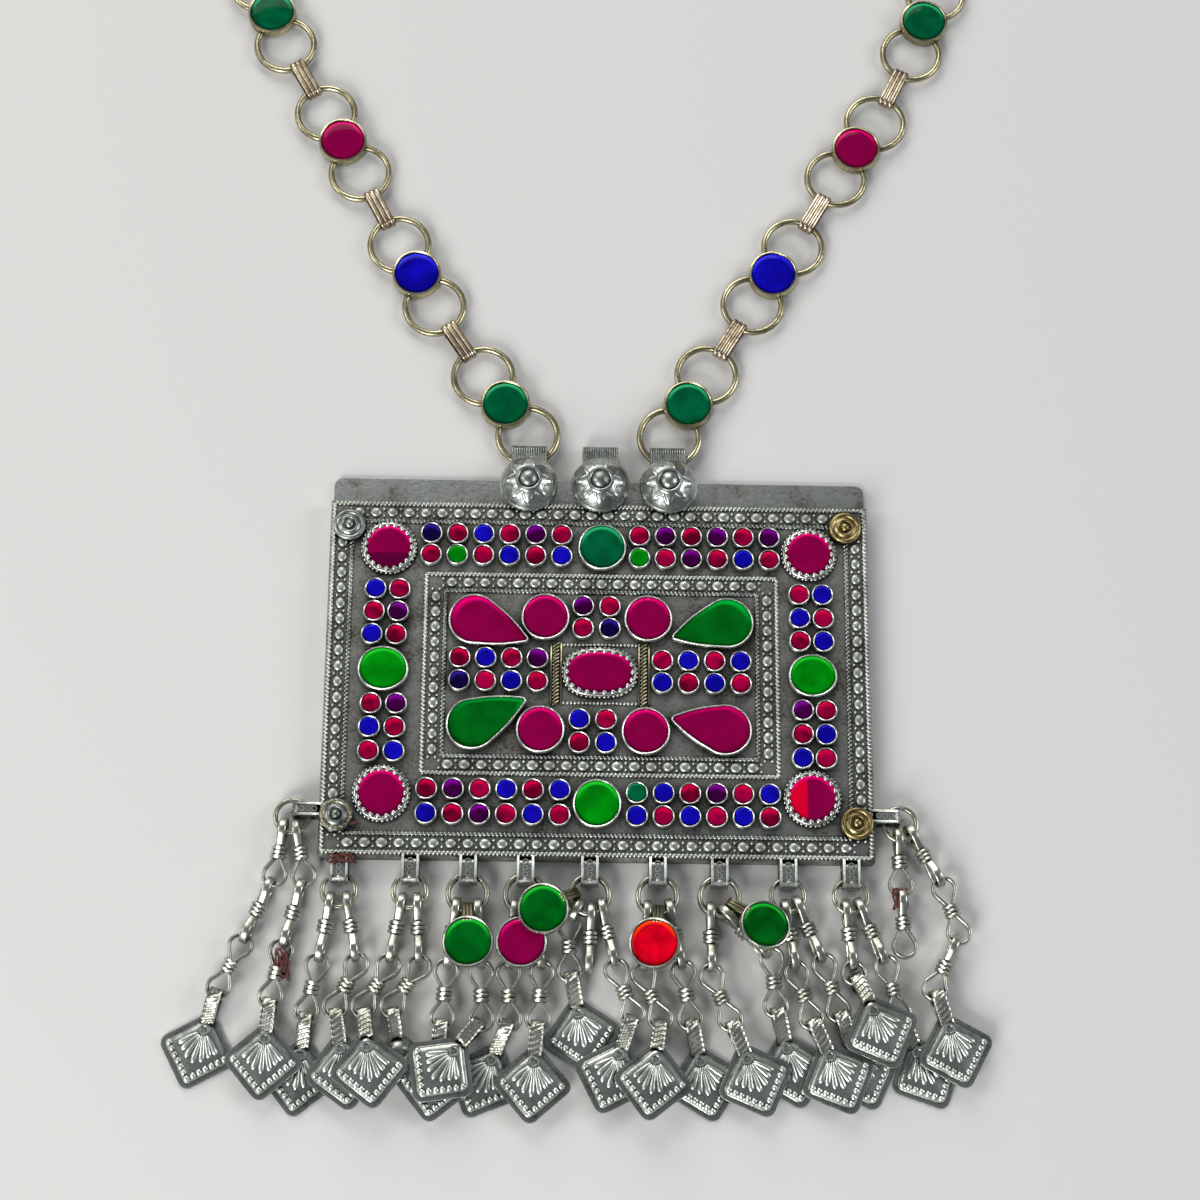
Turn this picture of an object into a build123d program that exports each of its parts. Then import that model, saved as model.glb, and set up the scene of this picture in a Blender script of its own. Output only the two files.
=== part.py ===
from build123d import *

import math
import os
from collections import namedtuple

# A flat amulet case on a chain of rings, lying face up. Millimetres. +X is to the wearer's left as
# seen from the front, +Y runs from the hanging drops to the neck, +Z is up from the surface that the
# piece lies on. The origin is the centre of the case's back, on that surface.

# Case
CASE_WIDTH = 120.0
CASE_HEIGHT = 81.0
CASE_CORNER = 0.8
BACK_THICKNESS = 1.0
FLANGE_HEIGHT = 6.5  # plain strip of the back sheet above the case
FLANGE_INSET = 0.2
FLANGE_CORNER = 2.0
FIT_GAP = 0.05  # between pieces that are seated on each other
FACE_TOP = 4.5
FACE_SKIN = 1.1
WALL = 1.2
RELIEF_ROOT = 0.1  # how far raised work reaches into the sheet under it
SEAM_SUNK = 0.6  # how far a soldered loop reaches over the sheet that carries it

# Raised borders of the face
ROPE_WIDTH = 1.1
ROPE_RISE = 0.8
BEAD_WIDTH = 2.2
BEAD_RISE = 1.0
BORDER_EDGE = 0.25
BORDER_WIDTH = 5.2
FRAME_LEFT = -38.8
FRAME_RIGHT = 39.9
FRAME_TOP = 23.9
FRAME_BOTTOM = -22.6
FRAME_SIDE_WIDTH = 5.4
FRAME_CROSS_WIDTH = 4.9
SMALL_FRAME_LEFT = -10.4
SMALL_FRAME_RIGHT = 11.1
SMALL_FRAME_TOP = 7.7
SMALL_FRAME_BOTTOM = -6.4
SMALL_FRAME_SIDE = 2.2
SMALL_FRAME_WIRE = 0.8
SMALL_FRAME_RISE = 0.6

# Settings and glass
BEZEL_RISE = 1.7
BEZEL_WALL = 0.45
SERRATED_WALL = 0.85
TOOTH_DEPTH = 0.3
TOOTH_PITCH = 1.6
GLASS_GAP = 0.1
GLASS_BELOW_RIM = 0.25
GLASS_CHAMFER = 0.35
SMALL_BEZEL_RADIUS = 2.4
SMALL_BEZEL_WALL = 0.4
SMALL_CHAMFER = 0.3
TEAR_RADIUS = 5.6
TEAR_TIP_RADIUS = 0.7

# Domed bosses and their strap bails
BOSS_RADIUS = 6.5
BOSS_SHELL = 0.8
BOSS_HEIGHT = 4.2
BOSS_BASE = 5.6
BOSS_BEAD_RADIUS = 1.7
BOSS_STRAP_WIDTH = 8.0
BOSS_STRAP_REACH = 8.1  # beyond the flange's edge
BOSS_STEM_DEPTH = 4.0
BOSS_CENTRE_INSET = 2.4  # of the dome's centre below the flange's edge
STRAP_WALL = 0.65

# Corner rosettes
ROSETTE_RADIUS = 3.65
ROSETTE_RISE = 1.5

# Chain
RING_RADIUS = 6.75
RING_WIRE = 0.75
CHAIN_Z = 1.6
RING_SPACING = 17.7
UNIT_GAP = 20.8
CUP_RADIUS = 5.65
CUP_WALL = 0.55
CUP_RISE = 1.9
CUP_FLOOR = 0.5
STRAP_WIDTH = 3.5
STRAP_RIDGE = 0.15
LINK_SLACK = 0.15
UNITS_PER_SIDE = 7
CLASP_HALF = 6.0  # from the middle of the neck to the last ring's near wire
CLASP_WIDTH = 2.0

# Bails and jump rings of the drops
BAIL_WIDTH = 3.9
SIDE_BAIL_WIDTH = 3.0
BAIL_REACH = 5.7
BAIL_WALL = 0.7
BAIL_BOTTOM = 0.25
BAIL_TOP = 4.75
SIDE_BAIL_Y = -30.4
JUMP_RADIUS = 3.6
DOUBLED_JUMP_RADIUS = 4.2
JUMP_WIRE = 0.55
JUMP_LOW_Z = 2.05
JUMP_HIGH_Z = 3.35
JUMP_IN_BAIL = 2.15  # from the bail's outer end to the wire
SIDE_JUMP_OUT = 5.9
SIDE_JUMP_DROP = 1.2

# Wire-wrapped links
DROP_Z = 2.85
LOOP_RADIUS = 2.8
LOOP_WALL = 0.8
LOOP_TIP = 0.95
RIBBON_WIDTH = 1.8
LINK_REACH = 9.9  # between the centres of a link's two loops
COIL_RADIUS = 1.85
COIL_LENGTH = 3.0
COIL_TURNS = 3
LOOPS_LINKED = 3.37  # between the centres of two loops that hang in each other
WIRE_IN_LOOP = 0.1

# Stamped plaques
PLAQUE_SIDE = 12.6
PLAQUE_CORNER = 2.0
PLAQUE_FLANGE = 0.7
PLAQUE_HEIGHT = 2.1
PLAQUE_MARGIN = 1.0
PLAQUE_SLOPE = 0.9
PLAQUE_BELOW_BAIL = 11.45
PLAQUE_UNDER = 2.8
FAN_RIDGES = 7
FAN_RISE = 0.35
PLAQUE_BAIL_RADIUS = 2.2
PLAQUE_BAIL_WALL = 0.65
PLAQUE_BAIL_WIDTH = 3.0
PLAQUE_BAIL_REACH = 5.4
PLAQUE_BAIL_LINKED = 2.35

# Hanging glass discs
DISC_RADIUS = 5.5
DISC_HEIGHT = 1.7
DISC_WALL = 0.5
DISC_FLOOR = 0.45
DISC_Z = 5.85
DISC_STRAP_WIDTH = 2.2
DISC_STRAP_RADIUS = 2.45
DISC_STRAP_WALL = 0.55

GLASS_COLOURS = {
    "R": "crimson",
    "B": "blue",
    "P": "purple",
    "N": "navy",
    "G": "green",
}

# Rows of small stones: colours left to right, the first stone's centre, and the pitch along the row
StoneRow = namedtuple("StoneRow", "colours x y pitch")
SMALL_ROWS = (
    StoneRow("NRBRPR", -37.4, 32.6, 5.8),
    StoneRow("RGRBRB", -37.4, 27.6, 5.8),
    StoneRow("RPRPRP", 8.9, 32.6, 5.78),
    StoneRow("GRPRBR", 8.9, 27.4, 5.78),
    StoneRow("BR", -49.4, 19.4, 5.3),
    StoneRow("RP", -49.6, 14.2, 5.3),
    StoneRow("BR", -49.9, 8.9, 5.3),
    StoneRow("RP", -49.6, -6.9, 5.5),
    StoneRow("BR", -49.8, -12.2, 5.5),
    StoneRow("RB", -49.8, -17.6, 5.5),
    StoneRow("RB", 44.3, 19.4, 5.2),
    StoneRow("BR", 44.4, 13.9, 5.2),
    StoneRow("RB", 44.4, 8.6, 5.2),
    StoneRow("PR", 44.8, -7.2, 5.1),
    StoneRow("RB", 44.7, -12.6, 5.1),
    StoneRow("BR", 44.6, -18.0, 5.1),
    StoneRow("RPRBRB", -37.0, -25.8, 5.76),
    StoneRow("BRPRBR", -37.0, -31.3, 5.76),
    StoneRow("GBRPRB", 8.5, -26.2, 5.76),
    StoneRow("BRBRBR", 8.5, -31.3, 5.76),
    StoneRow("RBRP", -30.5, 3.8, 5.7),
    StoneRow("NRBR", -30.5, -1.4, 5.7),
    StoneRow("RBRB", 14.0, 3.7, 5.75),
    StoneRow("BRBR", 14.0, -1.4, 5.75),
    StoneRow("PR", -3.5, 16.0, 5.9),
    StoneRow("RN", -3.5, 10.9, 5.9),
    StoneRow("BR", -4.1, -9.9, 5.8),
    StoneRow("RB", -4.1, -15.1, 5.8),
)

# Round and oval main stones: centre and outer size of the bezel
Setting = namedtuple("Setting", "name x y width height serrated")
SETTINGS = (
    Setting("corner_stone_top_left", -46.8, 29.2, 11.8, 11.8, True),
    Setting("corner_stone_top_right", 46.7, 29.0, 11.8, 11.8, True),
    Setting("corner_stone_bottom_left", -46.7, -26.9, 12.0, 12.0, True),
    Setting("corner_stone_bottom_right", 46.6, -26.9, 12.0, 12.0, True),
    Setting("green_stone_top", 0.6, 29.8, 10.4, 10.4, False),
    Setting("green_stone_bottom", -0.1, -28.7, 10.2, 10.4, False),
    Setting("green_stone_left", -47.2, 1.0, 10.8, 9.8, False),
    Setting("green_stone_right", 47.1, 0.7, 10.4, 9.4, False),
    Setting("round_stone_top_left", -11.8, 13.4, 10.3, 10.3, False),
    Setting("round_stone_top_right", 10.9, 13.3, 10.3, 10.3, False),
    Setting("round_stone_bottom_left", -12.6, -12.3, 10.3, 10.3, False),
    Setting("round_stone_bottom_right", 10.4, -12.4, 10.3, 10.3, False),
    Setting("centre_stone", 0.3, 0.9, 16.0, 11.0, True),
)

# Pear-shaped stones: centre of the round end, and where the tip's own centre lies
Tear = namedtuple("Tear", "name x y tip_x tip_y")
TEARS = (
    Tear("teardrop_stone_top_left", -27.4, 12.6, -16.3, 8.2),
    Tear("teardrop_stone_top_right", 28.4, 12.5, 17.0, 9.2),
    Tear("teardrop_stone_bottom_left", -27.4, -11.3, -16.6, -5.9),
    Tear("teardrop_stone_bottom_right", 27.8, -11.9, 16.8, -9.6),
)

Spot = namedtuple("Spot", "name x y")
ROSETTES = (
    Spot("rosette_top_left", -55.7, 34.2),
    Spot("rosette_top_right", 54.9, 35.2),
    Spot("rosette_bottom_left", -56.2, -31.9),
    Spot("rosette_bottom_right", 56.1, -32.4),
)
BOSSES = (Spot("boss_left", -16.0, 0.0), Spot("boss_centre", 0.1, 0.0), Spot("boss_right", 15.4, 0.0))

# Visible stretch of the chain: headings outward from +Y, in degrees, of each unit and the strap after it
ChainRow = namedtuple("ChainRow", "colour unit strap")
CHAIN_LEFT = (
    ChainRow("green", 36, 34),
    ChainRow("blue", 29, 28),
    ChainRow("crimson", 29, 30),
    ChainRow("green", 23, None),
)
CHAIN_RIGHT = (
    ChainRow("green", 29, 31),
    ChainRow("blue", 33, 30),
    ChainRow("crimson", 33, 26),
    ChainRow("green", 21, None),
)
HIDDEN_COLOURS = ("blue", "crimson", "green")

# Bails along the bottom edge, left to right, and whether a bail holds a doubled jump ring
BAIL_X = (-55.2, -40.0, -27.6, -15.3, -1.5, 13.1, 26.4, 41.2, 54.8)
DOUBLED = (3, 4, 5, 6, 7)

# Drops: the bail, where on the jump ring each hangs, how each link's two loops stand (V on edge, F flat,
# with RV and RF for a plain ring), each link's heading from -Y, and the plaque's heading and lift
Drop = namedtuple("Drop", "bail hung links headings plaque lift")
DROPS = (
    Drop("left", -29, ("VF", "VV", "FF"), (-8, -23, -25), -17, 0.0),
    Drop("left", 20, ("VF", "VV", "FF"), (11, -14, -11), -4, 2.6),
    Drop(1, -30, ("VV", "FF"), (-9, -11), -6, 0.0),
    Drop(1, 35, ("VV", "FF"), (10, -25), 10, 2.6),
    Drop(2, -29, ("VV", "FF"), (-10, -30), 8, 5.2),
    Drop(3, -36, ("VV", "FF"), (-7, -4), -6, 2.6),
    Drop(3, 33, ("VV", "FF"), (4, 2), -37, 5.2),
    Drop(4, -33, ("VV", "FF"), (-4, 2), -23, 0.0),
    Drop(4, 35, ("VV", "FF"), (6, -4), -4, 2.6),
    Drop(5, -40, ("RV", "FF"), (-30, 2), 12, 0.0),
    Drop(5, 43, ("VV", "FF"), (13, 21), -18, 2.6),
    Drop(6, -32, ("VV", "FF"), (-3, 21), -7, 5.2),
    Drop(6, 41, ("VV", "FF"), (12, 8), 14, 0.0),
    Drop(7, -28, ("VV", "FF"), (1, 23), 22, 2.6),
    Drop(7, 23, ("VV", "FF"), (45, 4), 15, 0.0),
    Drop(8, -9, ("VV", "FF"), (9, 17), 24, 2.6),
    Drop(8, 40, ("VV", "FF"), (23, 16), 21, 0.0),
    Drop(9, -20, ("VV", "RF"), (6, 19), 22, 5.2),
    Drop(9, 34, ("VV", "FF"), (23, 13), 26, 0.0),
    Drop("right", 43, ("VV", "FF", "VF"), (29, 17, -25), 17, 2.6),
)
# Strands with no plaque: one that ends in a small bell, and two that end in an empty loop
BELL_DROP = Drop(2, 30, ("VV", "FF"), (3, -33), 9, 0.0)
BARE_DROPS = (
    Drop(5, 5, ("VV",), (-2,), 0, 0.0),
    Drop("right", -11, ("VF", "VF"), (2, 2), 0, 0.0),
)
PLAIN_RINGS = ("RV", "RF")
BELL_RADIUS = 3.6
BELL_REACH = 5.0
BELL_STRAP = 2.6

# Hanging discs: colour, bail, place on the jump ring, heading, reach from the ring's wire, lift
Disc = namedtuple("Disc", "colour bail hung heading reach lift")
DISCS = (
    Disc("green", 3, 2, 2, 6.8, 0.0),
    Disc("crimson", 4, -2, -4, 6.8, 0.0),
    Disc("green", 5, -84, -57, 6.8, 1.8),
    Disc("red", 6, 0, -6, 6.8, 0.0),
    Disc("green", 7, 56, 50, 7.4, 0.0),
)

FLANGE_TOP_Y = CASE_HEIGHT / 2 + FLANGE_HEIGHT
HALF_W = CASE_WIDTH / 2
HALF_H = CASE_HEIGHT / 2
STONE_FLOOR = FACE_TOP + FIT_GAP
RIM_TOP = FACE_TOP + BEZEL_RISE


def heading(angle):
    """Unit vector at an angle from -Y towards +X, in degrees."""
    turn = math.radians(angle)
    return Vector(math.sin(turn), -math.cos(turn), 0)


def stand(shape, x, y, z, turn=0.0):
    """Turns a shape about Z and sets it in place."""
    return Pos(x, y, z) * Rot(0, 0, turn) * shape


def as_solids(shapes):
    """All the solids of a list of shapes."""
    return [solid for shape in shapes for solid in shape.solids()]


def block(x0, x1, y0, y1, z0, z1):
    """A box between two corners."""
    box = Box(x1 - x0, y1 - y0, z1 - z0)
    return Pos((x0 + x1) / 2, (y0 + y1) / 2, (z0 + z1) / 2) * box


def prism(face, z0, z1):
    """A face drawn at z = 0, extruded from z0 to z1."""
    return Pos(0, 0, z0) * extrude(face, z1 - z0)


def pear(big, small, reach):
    """A face round two circles: one at the origin, a smaller one at -Y, with tangent sides."""
    lean = math.asin((big - small) / reach)
    side = math.cos(lean)
    rise = math.sin(lean)
    right_big = Vector(big * side, -big * rise)
    right_small = Vector(small * side, -reach - small * rise)
    left_big = Vector(-right_big.X, right_big.Y)
    left_small = Vector(-right_small.X, right_small.Y)
    outline = [
        ThreePointArc(right_big, (0, big), left_big),
        Line(left_big, left_small),
        ThreePointArc(left_small, (0, -reach - small), right_small),
        Line(right_small, right_big),
    ]
    return make_face(outline)


def pear_ring(big, small, reach, wall):
    """A band of even thickness bent to a pear outline."""
    inner_small = max(small - wall, 0.15)
    return pear(big, small, reach) - pear(big - wall, inner_small, reach - 0.2 * wall)


def on_edge(band, width):
    """A band drawn in XY, stood on edge so that it lies in the YZ plane, with its width along X."""
    strip = extrude(band, width / 2, both=True)
    return Rot(0, 90, 0) * strip


def oval(width, height):
    """A round or oval face."""
    if abs(width - height) < 1e-6:
        return Circle(width / 2)
    return Ellipse(width / 2, height / 2)


def toothed(width, height):
    """An oval face with small teeth round its edge."""
    teeth = round(math.pi * (width + height) / 2 / TOOTH_PITCH)
    points = []
    for step in range(2 * teeth):
        angle = math.pi * step / teeth
        inset = TOOTH_DEPTH * (step % 2)
        points.append(((width / 2 - inset) * math.cos(angle), (height / 2 - inset) * math.sin(angle)))
    return make_face(Polyline(*points, close=True))


def band_frame(x0, x1, y0, y1, width):
    """A rectangular frame of one band."""
    outer = Pos((x0 + x1) / 2, (y0 + y1) / 2) * Rectangle(x1 - x0, y1 - y0)
    inner = Pos((x0 + x1) / 2, (y0 + y1) / 2) * Rectangle(x1 - x0 - 2 * width, y1 - y0 - 2 * width)
    return outer - inner


def raised(face, rise):
    """Raised work on the case's face."""
    return prism(face, FACE_TOP - RELIEF_ROOT, FACE_TOP + rise)


def strip(x0, x1, y0, y1, rise):
    """A straight raised strip on the case's face."""
    return block(x0, x1, y0, y1, FACE_TOP - RELIEF_ROOT, FACE_TOP + rise)


def bail_loop(width):
    """A strap loop that stands on edge, from its seam at y = 0 to its end at -Y."""
    height = BAIL_TOP - BAIL_BOTTOM
    outer = Pos(0, -BAIL_REACH / 2) * RectangleRounded(height, BAIL_REACH, 1.4)
    inner = Pos(0, -BAIL_REACH / 2) * RectangleRounded(
        height - 2 * BAIL_WALL, BAIL_REACH - 2 * BAIL_WALL, 0.9
    )
    loop = on_edge(outer - inner, width)
    tab = block(
        -width / 2,
        width / 2,
        -BAIL_WALL,
        SEAM_SUNK,
        -height / 2,
        BACK_THICKNESS - BAIL_BOTTOM - height / 2,
    )
    return Pos(0, 0, BAIL_BOTTOM + height / 2) * (loop + tab)


def back_plate():
    """The backing sheet, with the strip above the case and the soldered bails on its edges."""
    sheet = Pos(0, FLANGE_HEIGHT / 2) * Rectangle(CASE_WIDTH - 2 * FLANGE_INSET, CASE_HEIGHT + FLANGE_HEIGHT)
    sheet = fillet(sheet.vertices().group_by(Axis.Y)[-1], FLANGE_CORNER)
    plate = prism(sheet, 0, BACK_THICKNESS)
    below = -HALF_H - FIT_GAP
    beside = HALF_W - FLANGE_INSET + FIT_GAP + FLANGE_INSET
    bails = [Pos(x, below, 0) * bail_loop(BAIL_WIDTH) for x in BAIL_X]
    bails.append(stand(bail_loop(SIDE_BAIL_WIDTH), -beside, SIDE_BAIL_Y, 0, -90))
    bails.append(stand(bail_loop(SIDE_BAIL_WIDTH), beside, SIDE_BAIL_Y, 0, 90))
    return plate.fuse(*as_solids(bails))


def face_relief():
    """The raised borders: the outer border, the inner frame and the small frame at the centre."""
    bead_inset = (BORDER_WIDTH - BEAD_WIDTH) / 2
    left, right = -HALF_W + BORDER_EDGE, HALF_W - BORDER_EDGE
    bottom, top = -HALF_H + BORDER_EDGE, HALF_H - BORDER_EDGE
    rope_inset = BORDER_WIDTH - ROPE_WIDTH
    pieces = [
        raised(band_frame(left, right, bottom, top, ROPE_WIDTH), ROPE_RISE),
        raised(
            band_frame(
                left + bead_inset, right - bead_inset, bottom + bead_inset, top - bead_inset, BEAD_WIDTH
            ),
            BEAD_RISE,
        ),
        raised(
            band_frame(
                left + rope_inset, right - rope_inset, bottom + rope_inset, top - rope_inset, ROPE_WIDTH
            ),
            ROPE_RISE,
        ),
    ]
    side_bead = (FRAME_SIDE_WIDTH - BEAD_WIDTH) / 2
    for x0 in (FRAME_LEFT, FRAME_RIGHT - FRAME_SIDE_WIDTH):
        x1 = x0 + FRAME_SIDE_WIDTH
        pieces.append(strip(x0, x0 + ROPE_WIDTH, FRAME_BOTTOM, FRAME_TOP, ROPE_RISE))
        pieces.append(strip(x1 - ROPE_WIDTH, x1, FRAME_BOTTOM, FRAME_TOP, ROPE_RISE))
        pieces.append(strip(x0 + side_bead, x1 - side_bead, FRAME_BOTTOM, FRAME_TOP, BEAD_RISE))
    cross_bead = (FRAME_CROSS_WIDTH - BEAD_WIDTH) / 2
    x0 = FRAME_LEFT + FRAME_SIDE_WIDTH - RELIEF_ROOT
    x1 = FRAME_RIGHT - FRAME_SIDE_WIDTH + RELIEF_ROOT
    for y0 in (FRAME_BOTTOM, FRAME_TOP - FRAME_CROSS_WIDTH):
        y1 = y0 + FRAME_CROSS_WIDTH
        pieces.append(strip(x0, x1, y0, y0 + ROPE_WIDTH, ROPE_RISE))
        pieces.append(strip(x0, x1, y1 - ROPE_WIDTH, y1, ROPE_RISE))
        pieces.append(strip(x0, x1, y0 + cross_bead, y1 - cross_bead, BEAD_RISE))
    for x0 in (SMALL_FRAME_LEFT, SMALL_FRAME_RIGHT - SMALL_FRAME_SIDE):
        x1 = x0 + SMALL_FRAME_SIDE
        pieces.append(strip(x0, x1, SMALL_FRAME_BOTTOM, SMALL_FRAME_TOP, SMALL_FRAME_RISE))
    for y0 in (SMALL_FRAME_BOTTOM, SMALL_FRAME_TOP - SMALL_FRAME_WIRE):
        x0 = SMALL_FRAME_LEFT + SMALL_FRAME_SIDE - RELIEF_ROOT
        x1 = SMALL_FRAME_RIGHT - SMALL_FRAME_SIDE + RELIEF_ROOT
        pieces.append(strip(x0, x1, y0, y0 + SMALL_FRAME_WIRE, SMALL_FRAME_RISE))
    return pieces


def tear_turn(tear):
    """Length of a pear stone between its two centres, and the turn that points it at its tip."""
    dx, dy = tear.tip_x - tear.x, tear.tip_y - tear.y
    return math.hypot(dx, dy), math.degrees(math.atan2(dx, -dy))


def small_spots():
    """Colour and centre of each small stone."""
    for row in SMALL_ROWS:
        for step, letter in enumerate(row.colours):
            yield GLASS_COLOURS[letter], row.x + step * row.pitch, row.y


def bezels():
    """The walls of every setting on the face."""
    pieces = []
    small = raised(
        Circle(SMALL_BEZEL_RADIUS) - Circle(SMALL_BEZEL_RADIUS - SMALL_BEZEL_WALL), BEZEL_RISE
    )
    for _, x, y in small_spots():
        pieces.append(Pos(x, y, 0) * small)
    for item in SETTINGS:
        wall = SERRATED_WALL if item.serrated else BEZEL_WALL
        outer = toothed(item.width, item.height) if item.serrated else oval(item.width, item.height)
        inner = oval(item.width - 2 * wall, item.height - 2 * wall)
        pieces.append(Pos(item.x, item.y, 0) * raised(outer - inner, BEZEL_RISE))
    for tear in TEARS:
        reach, turn = tear_turn(tear)
        ring = pear_ring(TEAR_RADIUS, TEAR_TIP_RADIUS, reach, BEZEL_WALL)
        pieces.append(stand(raised(ring, BEZEL_RISE), tear.x, tear.y, 0, turn))
    return pieces


def face_plate():
    """The hollow cover of the case, with its borders and settings raised on it."""
    outline = RectangleRounded(CASE_WIDTH, CASE_HEIGHT, CASE_CORNER)
    low = BACK_THICKNESS + FIT_GAP
    cover = prism(outline, low, FACE_TOP)
    cover -= block(-HALF_W + WALL, HALF_W - WALL, -HALF_H + WALL, HALF_H - WALL, low, FACE_TOP - FACE_SKIN)
    return cover.fuse(*as_solids(face_relief() + bezels()))


def glass(face, z0, z1, chamfer_size):
    """A flat-backed glass stone with a bevelled edge round its table."""
    stone = prism(face, z0, z1)
    return chamfer(stone.faces().sort_by(Axis.Z)[-1].edges(), chamfer_size)


def main_stones():
    """The large stones of the face, by name."""
    stones = {}
    top = RIM_TOP - GLASS_BELOW_RIM
    for item in SETTINGS:
        wall = SERRATED_WALL if item.serrated else BEZEL_WALL
        inset = 2 * (wall + GLASS_GAP)
        face = oval(item.width - inset, item.height - inset)
        stones[item.name] = Pos(item.x, item.y, 0) * glass(face, STONE_FLOOR, top, GLASS_CHAMFER)
    for tear in TEARS:
        reach, turn = tear_turn(tear)
        inset = BEZEL_WALL + GLASS_GAP
        tip = max(TEAR_TIP_RADIUS - inset, 0.15)
        face = pear(TEAR_RADIUS - inset, tip, reach - inset)
        stone = glass(face, STONE_FLOOR, top, GLASS_CHAMFER / 3)
        stones[tear.name] = stand(stone, tear.x, tear.y, 0, turn)
    return stones


def small_stones():
    """The fields of small stones, one for each colour."""
    radius = SMALL_BEZEL_RADIUS - SMALL_BEZEL_WALL - GLASS_GAP
    stone = glass(Circle(radius), STONE_FLOOR, RIM_TOP - GLASS_BELOW_RIM, SMALL_CHAMFER)
    fields = {}
    for colour, x, y in small_spots():
        fields.setdefault("small_stones_" + colour, []).append(Pos(x, y, 0) * stone)
    return fields


def rosette():
    """A round ornament of two rings and a centre bead."""
    base = Cylinder(ROSETTE_RADIUS, 0.5, align=(Align.CENTER, Align.CENTER, Align.MIN))
    outer = Pos(0, 0, 0.5) * Torus(ROSETTE_RADIUS - 0.5, 0.4)
    inner = Pos(0, 0, 0.5) * Torus(ROSETTE_RADIUS * 0.5, 0.4)
    bead = Pos(0, 0, 0.5) * Sphere(ROSETTE_RISE - 0.5)
    bead = bead & Pos(0, 0, 0.4) * Cylinder(2, 2, align=(Align.CENTER, Align.CENTER, Align.MIN))
    return base.fuse(*as_solids([outer, inner, bead]))


def boss():
    """A domed boss on its strap bail. The strap loops beyond the flange and its seam sits on the flange."""
    dome_radius = (BOSS_RADIUS**2 + BOSS_HEIGHT**2) / (2 * BOSS_HEIGHT)
    centre = BOSS_HEIGHT - dome_radius
    keep = Cylinder(BOSS_RADIUS + 1, BOSS_HEIGHT + 1, align=(Align.CENTER, Align.CENTER, Align.MIN))
    dome = (Pos(0, 0, centre) * Sphere(dome_radius)) & keep
    dome -= Pos(0, 0, centre) * Sphere(dome_radius - BOSS_SHELL)
    bead_z = BOSS_HEIGHT - 0.2
    button = Pos(0, 0, bead_z) * Torus(BOSS_BEAD_RADIUS + 0.3, 0.35)
    bead = Pos(0, 0, bead_z - 0.5) * Sphere(BOSS_BEAD_RADIUS)
    bead = bead & (Pos(0, 0, bead_z - 0.5) * keep)
    dome = Pos(0, -BOSS_CENTRE_INSET, BOSS_BASE) * (dome.fuse(*as_solids([button, bead])))
    top = 2 * CHAIN_Z + 0.7
    low = 0.1
    reach = BOSS_STRAP_REACH - FIT_GAP
    outer = RectangleRounded(top - low, reach, (top - low) / 2 - 0.05)
    inner_height = top - low - 2 * STRAP_WALL
    inner = RectangleRounded(inner_height, reach - 2 * STRAP_WALL, inner_height / 2 - 0.05)
    loop = Pos(0, FIT_GAP + reach / 2, (top + low) / 2) * on_edge(outer - inner, BOSS_STRAP_WIDTH)
    seam = block(
        -BOSS_STRAP_WIDTH / 2,
        BOSS_STRAP_WIDTH / 2,
        -BOSS_STEM_DEPTH,
        FIT_GAP + STRAP_WALL,
        BACK_THICKNESS + FIT_GAP,
        BACK_THICKNESS + FIT_GAP + 2 * STRAP_WALL,
    )
    stem = block(
        -BOSS_STRAP_WIDTH / 4,
        BOSS_STRAP_WIDTH / 4,
        -BOSS_STEM_DEPTH,
        -BOSS_STEM_DEPTH / 2 + 0.5,
        BACK_THICKNESS + 2 * FIT_GAP,
        BOSS_BASE + BOSS_HEIGHT - BOSS_SHELL / 2,
    )
    return dome.fuse(*as_solids([loop, seam, stem]))


def chain_unit():
    """Two rings soldered under a glass cup. The rings' centres lie on Y, at either side of the cup."""
    ring = Torus(RING_RADIUS, RING_WIRE)
    cup = Pos(0, 0, -RING_WIRE) * Cylinder(
        CUP_RADIUS, RING_WIRE + CUP_RISE, align=(Align.CENTER, Align.CENTER, Align.MIN)
    )
    hollow = Pos(0, 0, CUP_FLOOR) * Cylinder(
        CUP_RADIUS - CUP_WALL, CUP_RISE, align=(Align.CENTER, Align.CENTER, Align.MIN)
    )
    rings = [Pos(0, y, 0) * ring for y in (-RING_SPACING / 2, RING_SPACING / 2)]
    return cup.fuse(*as_solids(rings)) - hollow


def chain_glass():
    """The glass disc of one cup."""
    face = Circle(CUP_RADIUS - CUP_WALL - GLASS_GAP)
    return glass(face, CUP_FLOOR + FIT_GAP, CUP_RISE - GLASS_BELOW_RIM, GLASS_CHAMFER)


def slot_ring(length, height, wall):
    """A flattened loop of even thickness, long in Y."""
    outer = Rot(0, 0, 90) * SlotOverall(length, height)
    inner = Rot(0, 0, 90) * SlotOverall(length - 2 * wall, height - 2 * wall)
    return outer - inner


def strap_link():
    """A ridged strap that wraps the wires of two rings."""
    inner_height = 2 * (RING_WIRE + LINK_SLACK)
    height = inner_height + 2 * (STRAP_WALL - STRAP_RIDGE)
    wires_apart = UNIT_GAP - 2 * RING_RADIUS
    curve = RING_RADIUS - math.sqrt(RING_RADIUS**2 - (STRAP_WIDTH / 2) ** 2)
    length = wires_apart + height + 2 * curve
    strap = on_edge(slot_ring(length, height, STRAP_WALL - STRAP_RIDGE), STRAP_WIDTH)
    ridge = on_edge(slot_ring(length + 2 * STRAP_RIDGE, height + 2 * STRAP_RIDGE, STRAP_WALL), STRAP_WIDTH / 5)
    ridges = [Pos(x, 0, 0) * ridge for x in (-STRAP_WIDTH * 0.38, 0, STRAP_WIDTH * 0.38)]
    return strap.fuse(*as_solids(ridges))


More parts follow.
